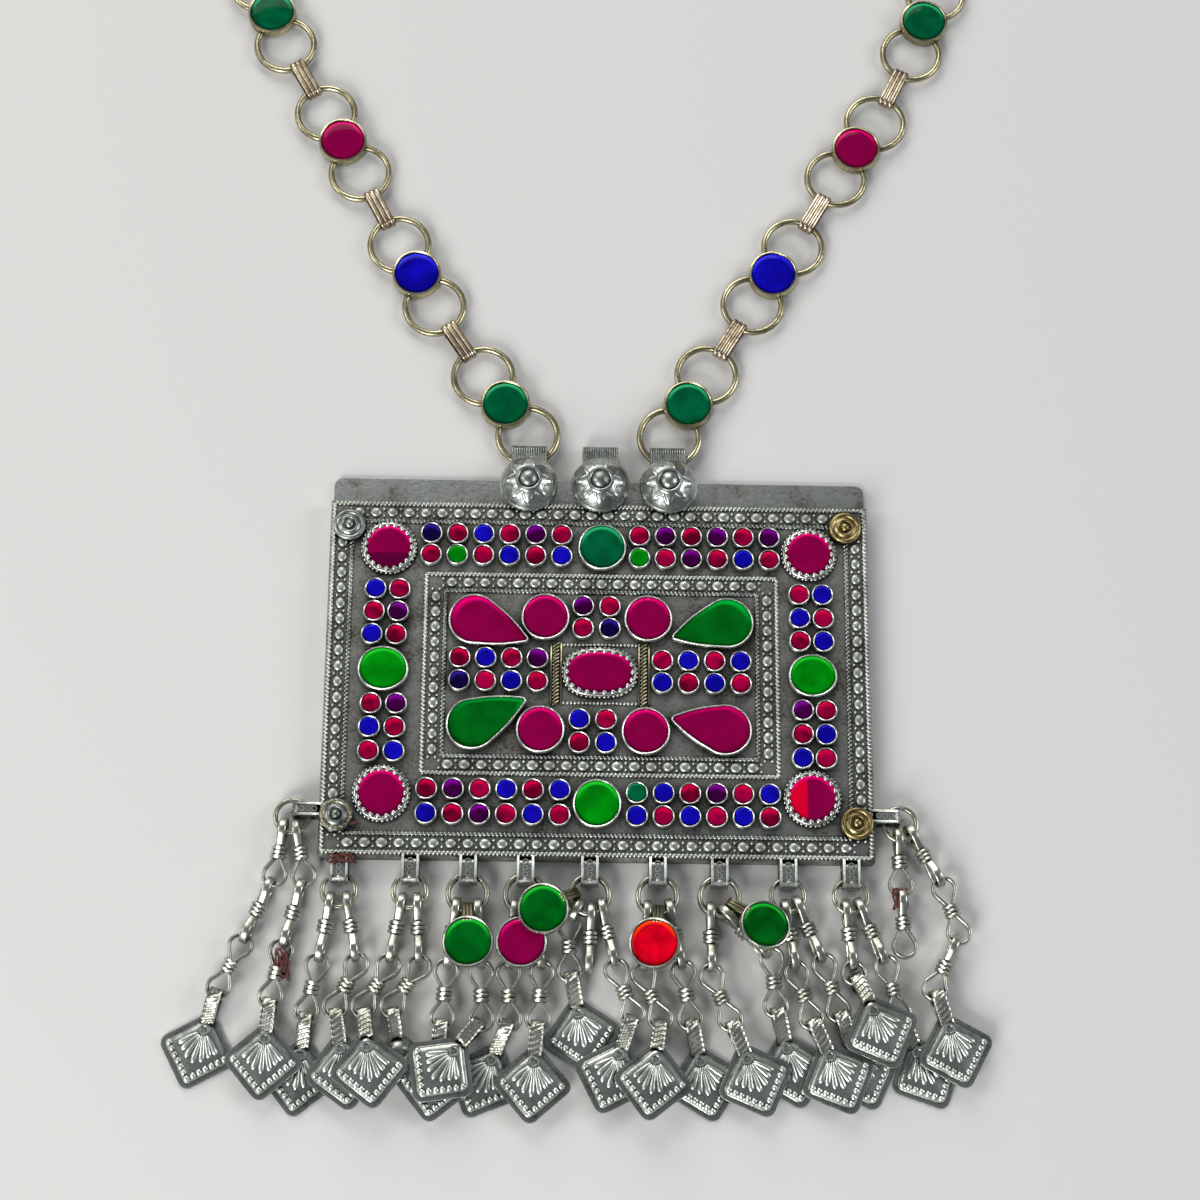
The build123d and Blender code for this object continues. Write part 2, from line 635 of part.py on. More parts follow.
def chain_route(side, rows):
    """Places of one side's units and straps. The hidden stretch turns evenly until it meets the middle."""
    ring_bottom = FLANGE_TOP_Y + BOSS_STRAP_REACH / 2
    start_x = BOSSES[2].x if side > 0 else BOSSES[0].x
    start = Vector(start_x + side * 0.4, ring_bottom + RING_RADIUS, 0)

    def walk(turn_per_mm):
        units, straps = [], []
        here = start
        angle = rows[-1].unit
        for step in range(UNITS_PER_SIDE):
            if step < len(rows):
                angle = rows[step].unit
                colour = rows[step].colour
            else:
                angle -= turn_per_mm * RING_SPACING
                colour = HIDDEN_COLOURS[(step - len(rows)) % len(HIDDEN_COLOURS)]
            way = heading(180 - side * angle)
            units.append((here + way * (RING_SPACING / 2), side * angle, colour))
            here = here + way * RING_SPACING
            if step == UNITS_PER_SIDE - 1:
                break
            if step < len(rows) and rows[step].strap is not None:
                strap_angle = rows[step].strap
            else:
                angle -= turn_per_mm * UNIT_GAP
                strap_angle = angle
            way = heading(180 - side * strap_angle)
            straps.append((here + way * (UNIT_GAP / 2), side * strap_angle))
            here = here + way * UNIT_GAP
        return units, straps, here

    gentle, sharp = 0.2, 1.6
    for _ in range(40):
        middle = (gentle + sharp) / 2
        if side * walk(middle)[2].X > CLASP_HALF + RING_RADIUS:
            gentle = middle
        else:
            sharp = middle
    return walk((gentle + sharp) / 2)


def clasp_hook(left_ring, right_ring):
    """A plain closed loop with a flat bar, hooked through the last ring of each side."""
    apart = right_ring - left_ring
    centre = (left_ring + right_ring) * 0.5
    inner_height = 2 * (RING_WIRE + LINK_SLACK)
    height = inner_height + 2 * STRAP_WALL
    curve = RING_RADIUS - math.sqrt(RING_RADIUS**2 - (CLASP_WIDTH / 2) ** 2)
    length = apart.length - 2 * RING_RADIUS + height + 2 * curve
    link = on_edge(slot_ring(length, height, STRAP_WALL), CLASP_WIDTH)
    post = block(-CLASP_WIDTH / 2, CLASP_WIDTH / 2, -STRAP_WALL, STRAP_WALL, -height / 2 + 0.1, height / 2 - 0.1)
    turn = math.degrees(math.atan2(apart.Y, apart.X)) - 90
    return stand(link + post, centre.X, centre.Y, CHAIN_Z, turn)


def chain():
    """Both sides of the chain, their glass and the clasp."""
    unit, stone, strap = chain_unit(), chain_glass(), strap_link()
    nodes, ends = {}, []
    for name, side, rows in (("chain_left", -1, CHAIN_LEFT), ("chain_right", 1, CHAIN_RIGHT)):
        units, straps, end = chain_route(side, rows)
        pieces = []
        for place, angle, colour in units:
            pieces.append(stand(unit, place.X, place.Y, CHAIN_Z, -angle))
            field = nodes.setdefault("chain_stones_" + colour, [])
            field.append(stand(stone, place.X, place.Y, CHAIN_Z, -angle))
        for place, angle in straps:
            pieces.append(stand(strap, place.X, place.Y, CHAIN_Z, -angle))
        nodes[name] = pieces
        ends.append(end)
    nodes["clasp_hook"] = [clasp_hook(*ends)]
    return nodes


def jump_radius(bail):
    """Radius of a bail's jump ring, to its wire's centre."""
    return DOUBLED_JUMP_RADIUS if bail in DOUBLED else JUMP_RADIUS


def jump_centre(bail):
    """Centre of a bail's jump ring."""
    if bail in ("left", "right"):
        side = -1 if bail == "left" else 1
        return Vector(side * (HALF_W + SIDE_JUMP_OUT), SIDE_BAIL_Y - SIDE_JUMP_DROP, 0)
    wire = -HALF_H - BAIL_REACH + JUMP_IN_BAIL
    return Vector(BAIL_X[bail - 1], wire - jump_radius(bail), 0)


def jump_wire(bail, hung):
    """Where on a jump ring's wire a piece hangs, at an angle from -Y."""
    return jump_centre(bail) + heading(hung) * jump_radius(bail)


def half_link(kind):
    """One loop of a link, at the origin, tapering to the coil at -Y."""
    reach = (LINK_REACH - COIL_LENGTH) / 2 + 0.2
    ring = pear_ring(LOOP_RADIUS, LOOP_TIP, reach, LOOP_WALL)
    if kind == "V":
        return on_edge(ring, RIBBON_WIDTH)
    return extrude(ring, RIBBON_WIDTH / 2, both=True)


def coil():
    """The wrapped waist of a link, along Y."""
    pitch = COIL_LENGTH / COIL_TURNS
    core = Cylinder(COIL_RADIUS - pitch / 3, COIL_LENGTH)
    turns = []
    for step in range(COIL_TURNS):
        turns.append(Pos(0, 0, (step - (COIL_TURNS - 1) / 2) * pitch) * Torus(COIL_RADIUS - pitch / 2, pitch * 0.48))
    return Rot(90, 0, 0) * core.fuse(*as_solids(turns))


def link(kinds):
    """A wire-wrapped link from its upper loop's centre at the origin to its lower loop at -Y, or a ring."""
    if kinds in PLAIN_RINGS:
        ring = Circle(LOOP_RADIUS) - Circle(LOOP_RADIUS - LOOP_WALL)
        return on_edge(ring, RIBBON_WIDTH) if kinds == "RV" else extrude(ring, RIBBON_WIDTH / 2, both=True)
    upper = half_link(kinds[0])
    lower = Pos(0, -LINK_REACH, 0) * Rot(0, 0, 180) * half_link(kinds[1])
    waist = Pos(0, -LINK_REACH / 2, 0) * coil()
    return waist.fuse(*as_solids([upper, lower]))


def plaque(lift):
    """A stamped diamond plaque with its strap bail, whose loop is centred on the origin."""
    under = lift - PLAQUE_UNDER
    diamond = Rot(0, 0, 45) * RectangleRounded(PLAQUE_SIDE, PLAQUE_SIDE, PLAQUE_CORNER)
    inset = 2 * PLAQUE_MARGIN
    corner = PLAQUE_CORNER - PLAQUE_MARGIN / 2
    low = Rot(0, 0, 45) * RectangleRounded(PLAQUE_SIDE - inset, PLAQUE_SIDE - inset, corner)
    inset += 2 * PLAQUE_SLOPE
    corner -= PLAQUE_SLOPE / 2
    high = Rot(0, 0, 45) * RectangleRounded(PLAQUE_SIDE - inset, PLAQUE_SIDE - inset, corner)
    field_low = PLAQUE_FLANGE - RELIEF_ROOT
    field = loft([Pos(0, 0, field_low) * low, Pos(0, 0, PLAQUE_HEIGHT) * high])
    ridge = prism(pear(0.5, 0.25, 6.4), PLAQUE_HEIGHT - RELIEF_ROOT, PLAQUE_HEIGHT + FAN_RISE)
    pieces = [field]
    fan_top = PLAQUE_SIDE / math.sqrt(2) - PLAQUE_MARGIN - PLAQUE_SLOPE - 1.9
    for step in range(FAN_RIDGES):
        spread = (step - (FAN_RIDGES - 1) / 2) * 14.0
        away = heading(spread) * 1.9
        pieces.append(Pos(away.X, fan_top + away.Y, 0) * Rot(0, 0, spread) * Pos(0, -6.4, 0) * Rot(0, 0, 180) * ridge)
    body = prism(diamond, 0, PLAQUE_FLANGE).fuse(*as_solids(pieces))
    body = Pos(0, -PLAQUE_BELOW_BAIL, under) * body
    seat = under + PLAQUE_FLANGE + 0.35
    ring = pear_ring(PLAQUE_BAIL_RADIUS, 0.7, PLAQUE_BAIL_REACH, PLAQUE_BAIL_WALL)
    dip = math.degrees(math.asin(seat / PLAQUE_BAIL_REACH))
    bail = Rot(-dip, 0, 0) * on_edge(ring, PLAQUE_BAIL_WIDTH)
    return body.fuse(*as_solids([bail]))


def bell():
    """A small half-round bell, lying on its mouth, on a strap whose loop is centred on the origin."""
    ring = on_edge(pear_ring(PLAQUE_BAIL_RADIUS, 0.7, BELL_REACH - 1, PLAQUE_BAIL_WALL), BELL_STRAP)
    mouth = block(-2 * BELL_RADIUS, 2 * BELL_RADIUS, -2 * BELL_RADIUS, 2 * BELL_RADIUS, 0, 2 * BELL_RADIUS)
    cup = (Sphere(BELL_RADIUS) & mouth) - Sphere(BELL_RADIUS - STRAP_WALL)
    cup = Pos(0, -BELL_REACH - 2, -PLAQUE_UNDER) * cup
    return ring.fuse(*as_solids([cup]))


def hang(drop, shapes):
    """The links of one strand in place, and the centre of the last loop."""
    here = jump_wire(drop.bail, drop.hung) + heading(drop.headings[0]) * WIRE_IN_LOOP
    pieces = []
    for step, (kinds, angle) in enumerate(zip(drop.links, drop.headings)):
        if step > 0:
            upright = angle if kinds[0] == "V" else drop.headings[step - 1]
            here = here + heading(upright) * LOOPS_LINKED
        pieces.append(stand(shapes[kinds], here.X, here.Y, DROP_Z, angle))
        if kinds not in PLAIN_RINGS:
            here = here + heading(angle) * LINK_REACH
    return pieces, here


def drops():
    """Everything that hangs from the bails: one node for each bail."""
    used = {kinds for drop in (*DROPS, *BARE_DROPS, BELL_DROP) for kinds in drop.links}
    shapes = {kinds: link(kinds) for kinds in sorted(used)}
    nodes = {}
    for bail in ("left", *range(1, len(BAIL_X) + 1), "right"):
        ring = Torus(jump_radius(bail), JUMP_WIRE)
        centre = jump_centre(bail)
        levels = (JUMP_LOW_Z, JUMP_HIGH_Z) if bail in DOUBLED else (JUMP_LOW_Z,)
        nodes[f"drops_{bail}"] = [Pos(centre.X, centre.Y, z) * ring for z in levels]
    for drop in (*DROPS, *BARE_DROPS, BELL_DROP):
        pieces, end = hang(drop, shapes)
        place = end + heading(drop.plaque) * PLAQUE_BAIL_LINKED
        if drop in DROPS:
            pieces.append(stand(plaque(drop.lift), place.X, place.Y, DROP_Z, drop.plaque))
        elif drop is BELL_DROP:
            pieces.append(stand(bell(), place.X, place.Y, DROP_Z, drop.plaque))
        nodes[f"drops_{drop.bail}"] += pieces
    return nodes


def disc(reach, lift):
    """A glass disc's cup and strap, from the jump ring's wire at the origin, in the surface's own height."""
    low = DISC_Z + lift
    middle = (JUMP_LOW_Z + JUMP_HIGH_Z) / 2
    cup = Pos(0, -reach, low) * Cylinder(DISC_RADIUS, DISC_HEIGHT, align=(Align.CENTER, Align.CENTER, Align.MIN))
    hollow = Pos(0, -reach, low + DISC_FLOOR) * Cylinder(
        DISC_RADIUS - DISC_WALL, DISC_HEIGHT, align=(Align.CENTER, Align.CENTER, Align.MIN)
    )
    run = reach - DISC_RADIUS + 0.6
    rise = low + DISC_HEIGHT / 2 - middle
    length = math.hypot(run, rise)
    ring = pear_ring(DISC_STRAP_RADIUS, 0.7, length, DISC_STRAP_WALL)
    strap = Rot(-math.degrees(math.atan2(rise, run)), 0, 0) * on_edge(ring, DISC_STRAP_WIDTH)
    strap = Pos(0, 0, middle) * strap
    return cup.fuse(*as_solids([strap])) - hollow


def discs():
    """The hanging discs and their glass."""
    nodes = {}
    for number, item in enumerate(DISCS, start=1):
        place = jump_wire(item.bail, item.hung)
        nodes[f"disc_{number}"] = [stand(disc(item.reach, item.lift), place.X, place.Y, 0, item.heading)]
        face = Circle(DISC_RADIUS - DISC_WALL - GLASS_GAP)
        floor = DISC_Z + item.lift + DISC_FLOOR + FIT_GAP
        top = DISC_Z + item.lift + DISC_HEIGHT - GLASS_BELOW_RIM
        stone = Pos(0, -item.reach, 0) * glass(face, floor, top, GLASS_CHAMFER)
        nodes[f"disc_{number}_stone"] = [stand(stone, place.X, place.Y, 0, item.heading)]
    return nodes


def build():
    """Every node by name, each a list of solids."""
    nodes = {"back_plate": [back_plate()], "face_plate": [face_plate()]}
    for spot in BOSSES:
        nodes[spot.name] = [Pos(spot.x, FLANGE_TOP_Y, 0) * boss()]
    for spot in ROSETTES:
        nodes[spot.name] = [Pos(spot.x, spot.y, FACE_TOP + BEAD_RISE + FIT_GAP) * rosette()]
    for name, stone in main_stones().items():
        nodes[name] = [stone]
    nodes.update(small_stones())
    nodes.update(chain())
    nodes.update(drops())
    nodes.update(discs())
    return nodes


def write(nodes):
    """One STEP file for each node."""
    os.makedirs("parts", exist_ok=True)
    for name, shapes in nodes.items():
        solids = as_solids(shapes)
        shape = solids[0] if len(solids) == 1 else Compound(children=solids)
        export_step(shape, f"parts/{name}.step")


write(build())
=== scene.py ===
import random
from collections import namedtuple
from math import asin, atan2, copysign, cos, degrees, exp, hypot, pi, radians, sin, sqrt, tau

import bmesh
import bpy
from mathutils import Matrix, Vector


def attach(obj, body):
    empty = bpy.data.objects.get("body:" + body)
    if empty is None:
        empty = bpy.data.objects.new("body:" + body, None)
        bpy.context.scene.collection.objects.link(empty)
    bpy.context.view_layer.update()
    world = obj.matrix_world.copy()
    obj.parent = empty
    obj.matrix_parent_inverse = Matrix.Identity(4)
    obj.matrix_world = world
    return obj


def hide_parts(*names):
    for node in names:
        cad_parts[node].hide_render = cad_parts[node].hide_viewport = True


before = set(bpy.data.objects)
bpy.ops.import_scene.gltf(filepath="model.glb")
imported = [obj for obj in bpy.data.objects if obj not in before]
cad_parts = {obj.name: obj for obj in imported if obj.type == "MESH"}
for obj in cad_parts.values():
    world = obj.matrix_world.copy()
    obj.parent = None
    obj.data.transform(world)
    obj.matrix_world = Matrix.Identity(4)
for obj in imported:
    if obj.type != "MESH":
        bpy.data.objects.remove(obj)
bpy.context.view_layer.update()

MM = 0.001
dice = random.Random(7)

# Sizes of the solids, in millimetres
HALF_W, HALF_H = 60.0, 40.5
BACK_TOP, FACE_TOP, RIM_TOP = 1.0, 4.5, 6.2
FLANGE_TOP_Y = 47.0
ROPE_WIDTH = 1.1
TEAR_RADIUS, TEAR_TIP = 5.6, 0.7
ROSETTE_Z = 5.55
BOSS_RADIUS, BOSS_HEIGHT, BOSS_BASE, BOSS_BELOW = 6.5, 4.2, 5.6, 2.4
BOSS_LOOP_REACH, BOSS_LOOP_LOW, BOSS_LOOP_HIGH = 8.05, 0.12, 3.88
BOSS_LOOP_WALL, BOSS_LOOP_WIDTH = 0.65, 8.0
RING_RADIUS, RING_WIRE, CHAIN_Z = 6.75, 0.75, 1.6
RING_SPACING, UNIT_GAP = 17.7, 20.8
CHAIN_OUT, CHAIN_UP, CLASP_HALF = 0.4, 4.05, 6.0
CUP_RADIUS, CUP_WALL, CUP_RISE, CUP_FLOOR = 5.65, 0.55, 1.9, 0.5
STRAP_WIDTH, STRAP_WALL, STRAP_TIP = 3.5, 0.5, 0.7
BAIL_REACH, BAIL_TOP = 5.7, 4.75
BAIL_WIDTH, SIDE_BAIL_WIDTH, SIDE_BAIL_Y = 3.9, 3.0, -30.4
JUMP_RADIUS, DOUBLED_RADIUS, JUMP_WIRE = 3.6, 4.2, 0.55
JUMP_LOW, JUMP_HIGH = 2.05, 3.35
JUMP_INSIDE, SIDE_JUMP_OUT, SIDE_JUMP_DOWN = 2.15, 5.9, 1.2
DROP_Z = 2.85
LOOP_RADIUS, LOOP_WALL, LOOP_TIP, LOOP_WIDTH = 2.8, 0.8, 0.95, 1.8
LINK_REACH, COIL_RADIUS, COIL_LENGTH = 9.9, 1.85, 3.0
LOOPS_LINKED, WIRE_IN_LOOP, BAIL_LINKED = 3.37, 0.1, 2.35
PLAQUE_SIDE, PLAQUE_CORNER, PLAQUE_UNDER, PLAQUE_BELOW = 12.6, 2.0, 2.8, 11.45
PLAQUE_BAIL, PLAQUE_BAIL_WALL, PLAQUE_BAIL_REACH = 2.2, 0.65, 5.4
BELL_BAIL_REACH, BELL_BELOW = 4.0, 7.0
DISC_RADIUS, DISC_HEIGHT, DISC_WALL, DISC_FLOOR, DISC_Z = 5.5, 1.7, 0.5, 0.45, 5.85
DISC_STRAP, DISC_STRAP_WALL, DISC_STRAP_WIDTH = 2.45, 0.55, 2.2

# Bezels and stones are a little larger here than their solids
SMALL_BEZEL, SMALL_WALL = 2.48, 0.34
WALL, SERRATED_WALL, SPREAD = 0.42, 0.85, 0.22
STONE_LOW, STONE_EDGE, STONE_TOP = 4.55, 5.72, 5.98
STONE_GAP, SERRATED_GAP, CUP_GAP = 0.06, 0.08, 0.08

# Details that the solids leave out
ROPE_RADIUS, ROPE_PITCH, ROPE_SLANT = 0.5, 0.92, 52
BEAD_CLEAR, TINY_BEAD_SIDE = 1.6, 0.8
FRAME_PITCH, FRAME_SLANT, FRAME_EDGE, FRAME_CLEAR = 0.83, 38, 0.14, 0.2
TOOTH_PITCH, EDGE_STEPS = 1.75, 240
TEAR_STEPS, TEAR_BULGE, FLANK_STEPS = 48, 0.42, 8
STAR_POINTS, STAR_INNER, STAR_REACH = 8, 0.52, 0.34
BOSS_BEAD_RADIUS, BOSS_BEAD_LOW, BOSS_BEAD_RISE = 2.05, 3.75, 1.35
HATCH_DEPTH, HATCH_PITCH, HATCH_SLANT = 0.3, 1.2, 0.6
RIB_DEPTH, RIBS = 0.16, 15
FLANGE_RIBS, FLANGE_RIB_PITCH = 13, 0.6
FAN_RIDGES, FAN_STEP, FAN_HUB = 7, 15.0, 4.6
THREAD_RADIUS, THREAD_STEPS = 0.19, 14

# Half-round beads and grains: half sizes in x, y and z, then the steps round and down
TINY_BEAD = (0.4, 0.4, 0.5, 7, 3)
FRAME_TWIST, FRAME_BEAD = (1.2, 0.36, 0.5, 10, 4), (0.42, 0.42, 0.5, 7, 3)
TOOTH, GRAIN = (0.66, 0.62, 0.62, 10, 4), (0.42, 0.34, 0.5, 7, 3)
ROSETTE_BEAD, BAIL_BEAD, BELL_BEAD = (0.45, 0.45, 0.55, 7, 3), (0.5, 0.3, 0.2, 8, 2), (0.6, 0.6, 0.35, 8, 3)
FAN_RIDGE, PLAQUE_BEAD = (0.98, 1.0, 0.62, 10, 8), (0.76, 0.76, 0.62, 9, 3)

# Small rings: radius, wire, then the steps round and across the wire
BAIL_RING, PLAQUE_RING = (0.52, 0.17, 14, 6), (0.95, 0.32, 16, 6)

# Profiles of (radius, height) or (share of the width, lift), and outlines
BEAD_PROFILE = ((0, 0.74), (0.5, 0.71), (0.78, 0.56), (0.95, 0.3), (1.0, 0))
RIDGE_PROFILE = ((0.02, 0.0), (0.2, 0.8), (0.5, 1.0), (0.8, 0.8), (0.98, 0.0))
ROSETTE_PROFILE = (
    (0, 0), (3.6, 0), (3.62, 0.35), (3.4, 0.7), (3.05, 0.86), (2.75, 0.72), (2.5, 0.5), (2.3, 0.55),
    (2.05, 0.85), (1.75, 0.98), (1.45, 0.85), (1.25, 0.55), (1.05, 0.6), (0.9, 1.0), (0.6, 1.3), (0, 1.42),
)
BAIL_EDGE = ((0, 0.5), (0, -4.2), (-0.42, -5.2), (-1.5, -5.68), (-3.2, -5.68))
PLAQUE_CROWN = ((0.93, 1.62), (0.8, 1.74), (0.6, 1.88), (0.3, 2.0))

# Small stones: a letter for each stone of a row, the place of the first and the spacing
COLOURS = {"R": "crimson", "B": "blue", "P": "purple", "N": "navy", "G": "green"}
StoneRow = namedtuple("StoneRow", "colours x y pitch")
SMALL_ROWS = [StoneRow(*row) for row in (
    ("NRBRPR", -37.4, 32.6, 5.8),
    ("RGRBRB", -37.4, 27.6, 5.8),
    ("RPRPRP", 8.9, 32.6, 5.78),
    ("GRPRBR", 8.9, 27.4, 5.78),
    ("BR", -49.4, 19.4, 5.3),
    ("RP", -49.6, 14.2, 5.3),
    ("BR", -49.9, 8.9, 5.3),
    ("RP", -49.6, -6.9, 5.5),
    ("BR", -49.8, -12.2, 5.5),
    ("RB", -49.8, -17.6, 5.5),
    ("RB", 44.3, 19.4, 5.2),
    ("BR", 44.4, 13.9, 5.2),
    ("RB", 44.4, 8.6, 5.2),
    ("PR", 44.8, -7.2, 5.1),
    ("RB", 44.7, -12.6, 5.1),
    ("BR", 44.6, -18.0, 5.1),
    ("RPRBRB", -37.0, -25.8, 5.76),
    ("BRPRBR", -37.0, -31.3, 5.76),
    ("GBRPRB", 8.5, -26.2, 5.76),
    ("BRBRBR", 8.5, -31.3, 5.76),
    ("RBRP", -30.5, 3.8, 5.7),
    ("NRBR", -30.5, -1.4, 5.7),
    ("RBRB", 14.0, 3.7, 5.75),
    ("BRBR", 14.0, -1.4, 5.75),
    ("PR", -3.5, 16.0, 5.9),
    ("RN", -3.5, 10.9, 5.9),
    ("BR", -4.1, -9.9, 5.8),
    ("RB", -4.1, -15.1, 5.8),
)]
TEAL_ROW_Y = -26.2  # the green stone of this row is a teal one

# Main stones. A pear-shaped one has the middle of its round end and of its tip
Setting = namedtuple("Setting", "name x y width height serrated glass", defaults=(False, "crimson"))
SETTINGS = (
    Setting("corner_stone_top_left", -46.8, 29.2, 11.8, 11.8, True),
    Setting("corner_stone_top_right", 46.7, 29.0, 11.8, 11.8, True),
    Setting("corner_stone_bottom_left", -46.7, -26.9, 12.0, 12.0, True),
    Setting("corner_stone_bottom_right", 46.6, -26.9, 12.0, 12.0, True),
    Setting("green_stone_top", 0.6, 29.8, 10.4, 10.4, False, "teal"),
    Setting("green_stone_bottom", -0.1, -28.7, 10.2, 10.4, False, "green"),
    Setting("green_stone_left", -47.2, 1.0, 10.8, 9.8, False, "green"),
    Setting("green_stone_right", 47.1, 0.7, 10.4, 9.4, False, "green"),
    Setting("round_stone_top_left", -11.8, 13.4, 10.3, 10.3),
    Setting("round_stone_top_right", 10.9, 13.3, 10.3, 10.3),
    Setting("round_stone_bottom_left", -12.6, -12.3, 10.3, 10.3),
    Setting("round_stone_bottom_right", 10.4, -12.4, 10.3, 10.3),
    Setting("centre_stone", 0.3, 0.9, 16.0, 11.0, True),
)
Tear = namedtuple("Tear", "name x y tip_x tip_y glass")
TEARS = (
    Tear("teardrop_stone_top_left", -27.4, 12.6, -16.3, 8.2, "crimson"),
    Tear("teardrop_stone_top_right", 28.4, 12.5, 17.0, 9.2, "dark_green"),
    Tear("teardrop_stone_bottom_left", -27.4, -11.3, -16.6, -5.9, "dark_green"),
    Tear("teardrop_stone_bottom_right", 27.8, -11.9, 16.8, -9.6, "crimson"),
)
TWO_TONED = {"corner_stone_top_left": "crimson_dusk", "corner_stone_bottom_right": "crimson_dawn"}

Spot = namedtuple("Spot", "name x y metal")
ROSETTES = (
    Spot("rosette_top_left", -55.7, 34.2, "silver"),
    Spot("rosette_top_right", 54.9, 35.2, "brass"),
    Spot("rosette_bottom_left", -56.2, -31.9, "mixed"),
    Spot("rosette_bottom_right", 56.1, -32.4, "brass"),
)
Boss = namedtuple("Boss", "name x")
BOSSES = (Boss("boss_left", -16.0), Boss("boss_centre", 0.1), Boss("boss_right", 15.4))

# A raised border: its edges, the widths of its sides, and how many beads or strands lie along them
Border = namedtuple("Border", "x0 x1 y0 y1 side_width cross_width across down")
BORDERS = (
    Border(-59.75, 59.75, -40.25, 40.25, 5.2, 5.2, 30, 20),
    Border(-38.8, 39.9, -22.6, 23.9, 5.4, 4.9, 19, 11),
)
SMALL_FRAME = Border(-10.4, 11.1, -6.4, 7.7, 2.2, 0.8, 20, 17)

# Colours of a side's units from the boss up, and how far the units and straps that the photograph shows
# lean out, in degrees, a unit and a strap in turn
CHAIN_COLOURS = ("green", "blue", "crimson", "green", "blue", "crimson", "green")
CHAIN_GLASS = {"green": "teal", "blue": "blue", "crimson": "crimson"}
CHAIN_LEFT = (36, 34, 29, 28, 29, 30, 23)
CHAIN_RIGHT = (29, 31, 33, 30, 33, 26, 21)

# The bails below the case, numbered from the left, and the ones with two jump rings
BAIL_X = (-55.2, -40.0, -27.6, -15.3, -1.5, 13.1, 26.4, 41.2, 54.8)
DOUBLED = (3, 4, 5, 6, 7)

# What hangs at a bail: where on its ring, the links with their headings, the heading of the end piece
# and its lift. A loop of a link stands upright (V) or lies flat (F), and R is a plain ring
Drop = namedtuple("Drop", "bail hung links headings plaque lift", defaults=(0, 0.0))
DROPS = (
    Drop("left", -29, "VF VV FF", (-8, -23, -25), -17),
    Drop("left", 20, "VF VV FF", (11, -14, -11), -4, 2.6),
    Drop(1, -30, "VV FF", (-9, -11), -6),
    Drop(1, 35, "VV FF", (10, -25), 10, 2.6),
    Drop(2, -29, "VV FF", (-10, -30), 8, 5.2),
    Drop(3, -36, "VV FF", (-7, -4), -6, 2.6),
    Drop(3, 33, "VV FF", (4, 2), -37, 5.2),
    Drop(4, -33, "VV FF", (-4, 2), -23),
    Drop(4, 35, "VV FF", (6, -4), -4, 2.6),
    Drop(5, -40, "RV FF", (-30, 2), 12),
    Drop(5, 43, "VV FF", (13, 21), -18, 2.6),
    Drop(6, -32, "VV FF", (-3, 21), -7, 5.2),
    Drop(6, 41, "VV FF", (12, 8), 14),
    Drop(7, -28, "VV FF", (1, 23), 22, 2.6),
    Drop(7, 23, "VV FF", (45, 4), 15),
    Drop(8, -9, "VV FF", (9, 17), 24, 2.6),
    Drop(8, 40, "VV FF", (23, 16), 21),
    Drop(9, -20, "VV RF", (6, 19), 22, 5.2),
    Drop(9, 34, "VV FF", (23, 13), 26),
    Drop("right", 43, "VV FF VF", (29, 17, -25), 17, 2.6),
)
BELL_DROP = Drop(2, 30, "VV FF", (3, -33), 9)
BARE_DROPS = (
    Drop(5, 5, "VV", (-2,)),
    Drop("right", -11, "VF VF", (2, 2)),
)

# Hanging discs. One that leans about its own strap, in degrees, is raised a little for that
Disc = namedtuple("Disc", "colour bail hung heading reach lift lean raised")
DISCS = (
    Disc("green", 3, 2, 2, 6.8, 0.0, 0, 0.0),
    Disc("crimson", 4, -2, -4, 6.8, 0.0, 0, 0.0),
    Disc("green", 5, -84, -57, 6.8, 1.8, 0, 0.0),
    Disc("red", 6, 0, -6, 6.8, 0.0, -7, 0.5),
    Disc("green", 7, 56, 50, 7.4, 0.0, 17, 0.9),
)

# Tangles of thread: the middle, half the width and height, and the turns
Knot = namedtuple("Knot", "x y z wide tall turns")
KNOTS = (
    Knot(-54.6, -41.2, 4.9, 2.4, 0.8, 6),
    Knot(-66.4, -64.0, 3.6, 1.2, 2.6, 9),
    Knot(65.2, -48.4, 4.3, 1.2, 1.8, 7),
    Knot(-52.6, -33.4, 5.0, 0.8, 0.3, 3),
)

# The stage, in metres and degrees
FLOOR_SIZE, FLOOR_COLOUR = 40.0, (0.62, 0.61, 0.59, 1.0)
SKY_COLOUR, SKY_STRENGTH = (0.75, 0.85, 1.0, 1.0), 0.14
LIT_PLACE = (0, 0.03, 0)
CAMERA_LENS, CAMERA_SENSOR = 78.0, 36.0
CAMERA_ROLL, CAMERA_YAW, CAMERA_PITCH = -0.86, 1.26, -18.0
CAMERA_PLACE = (0.00048, 0.01836, 0.57512)


# Mesh building

UP = Vector((0, 0, 1))


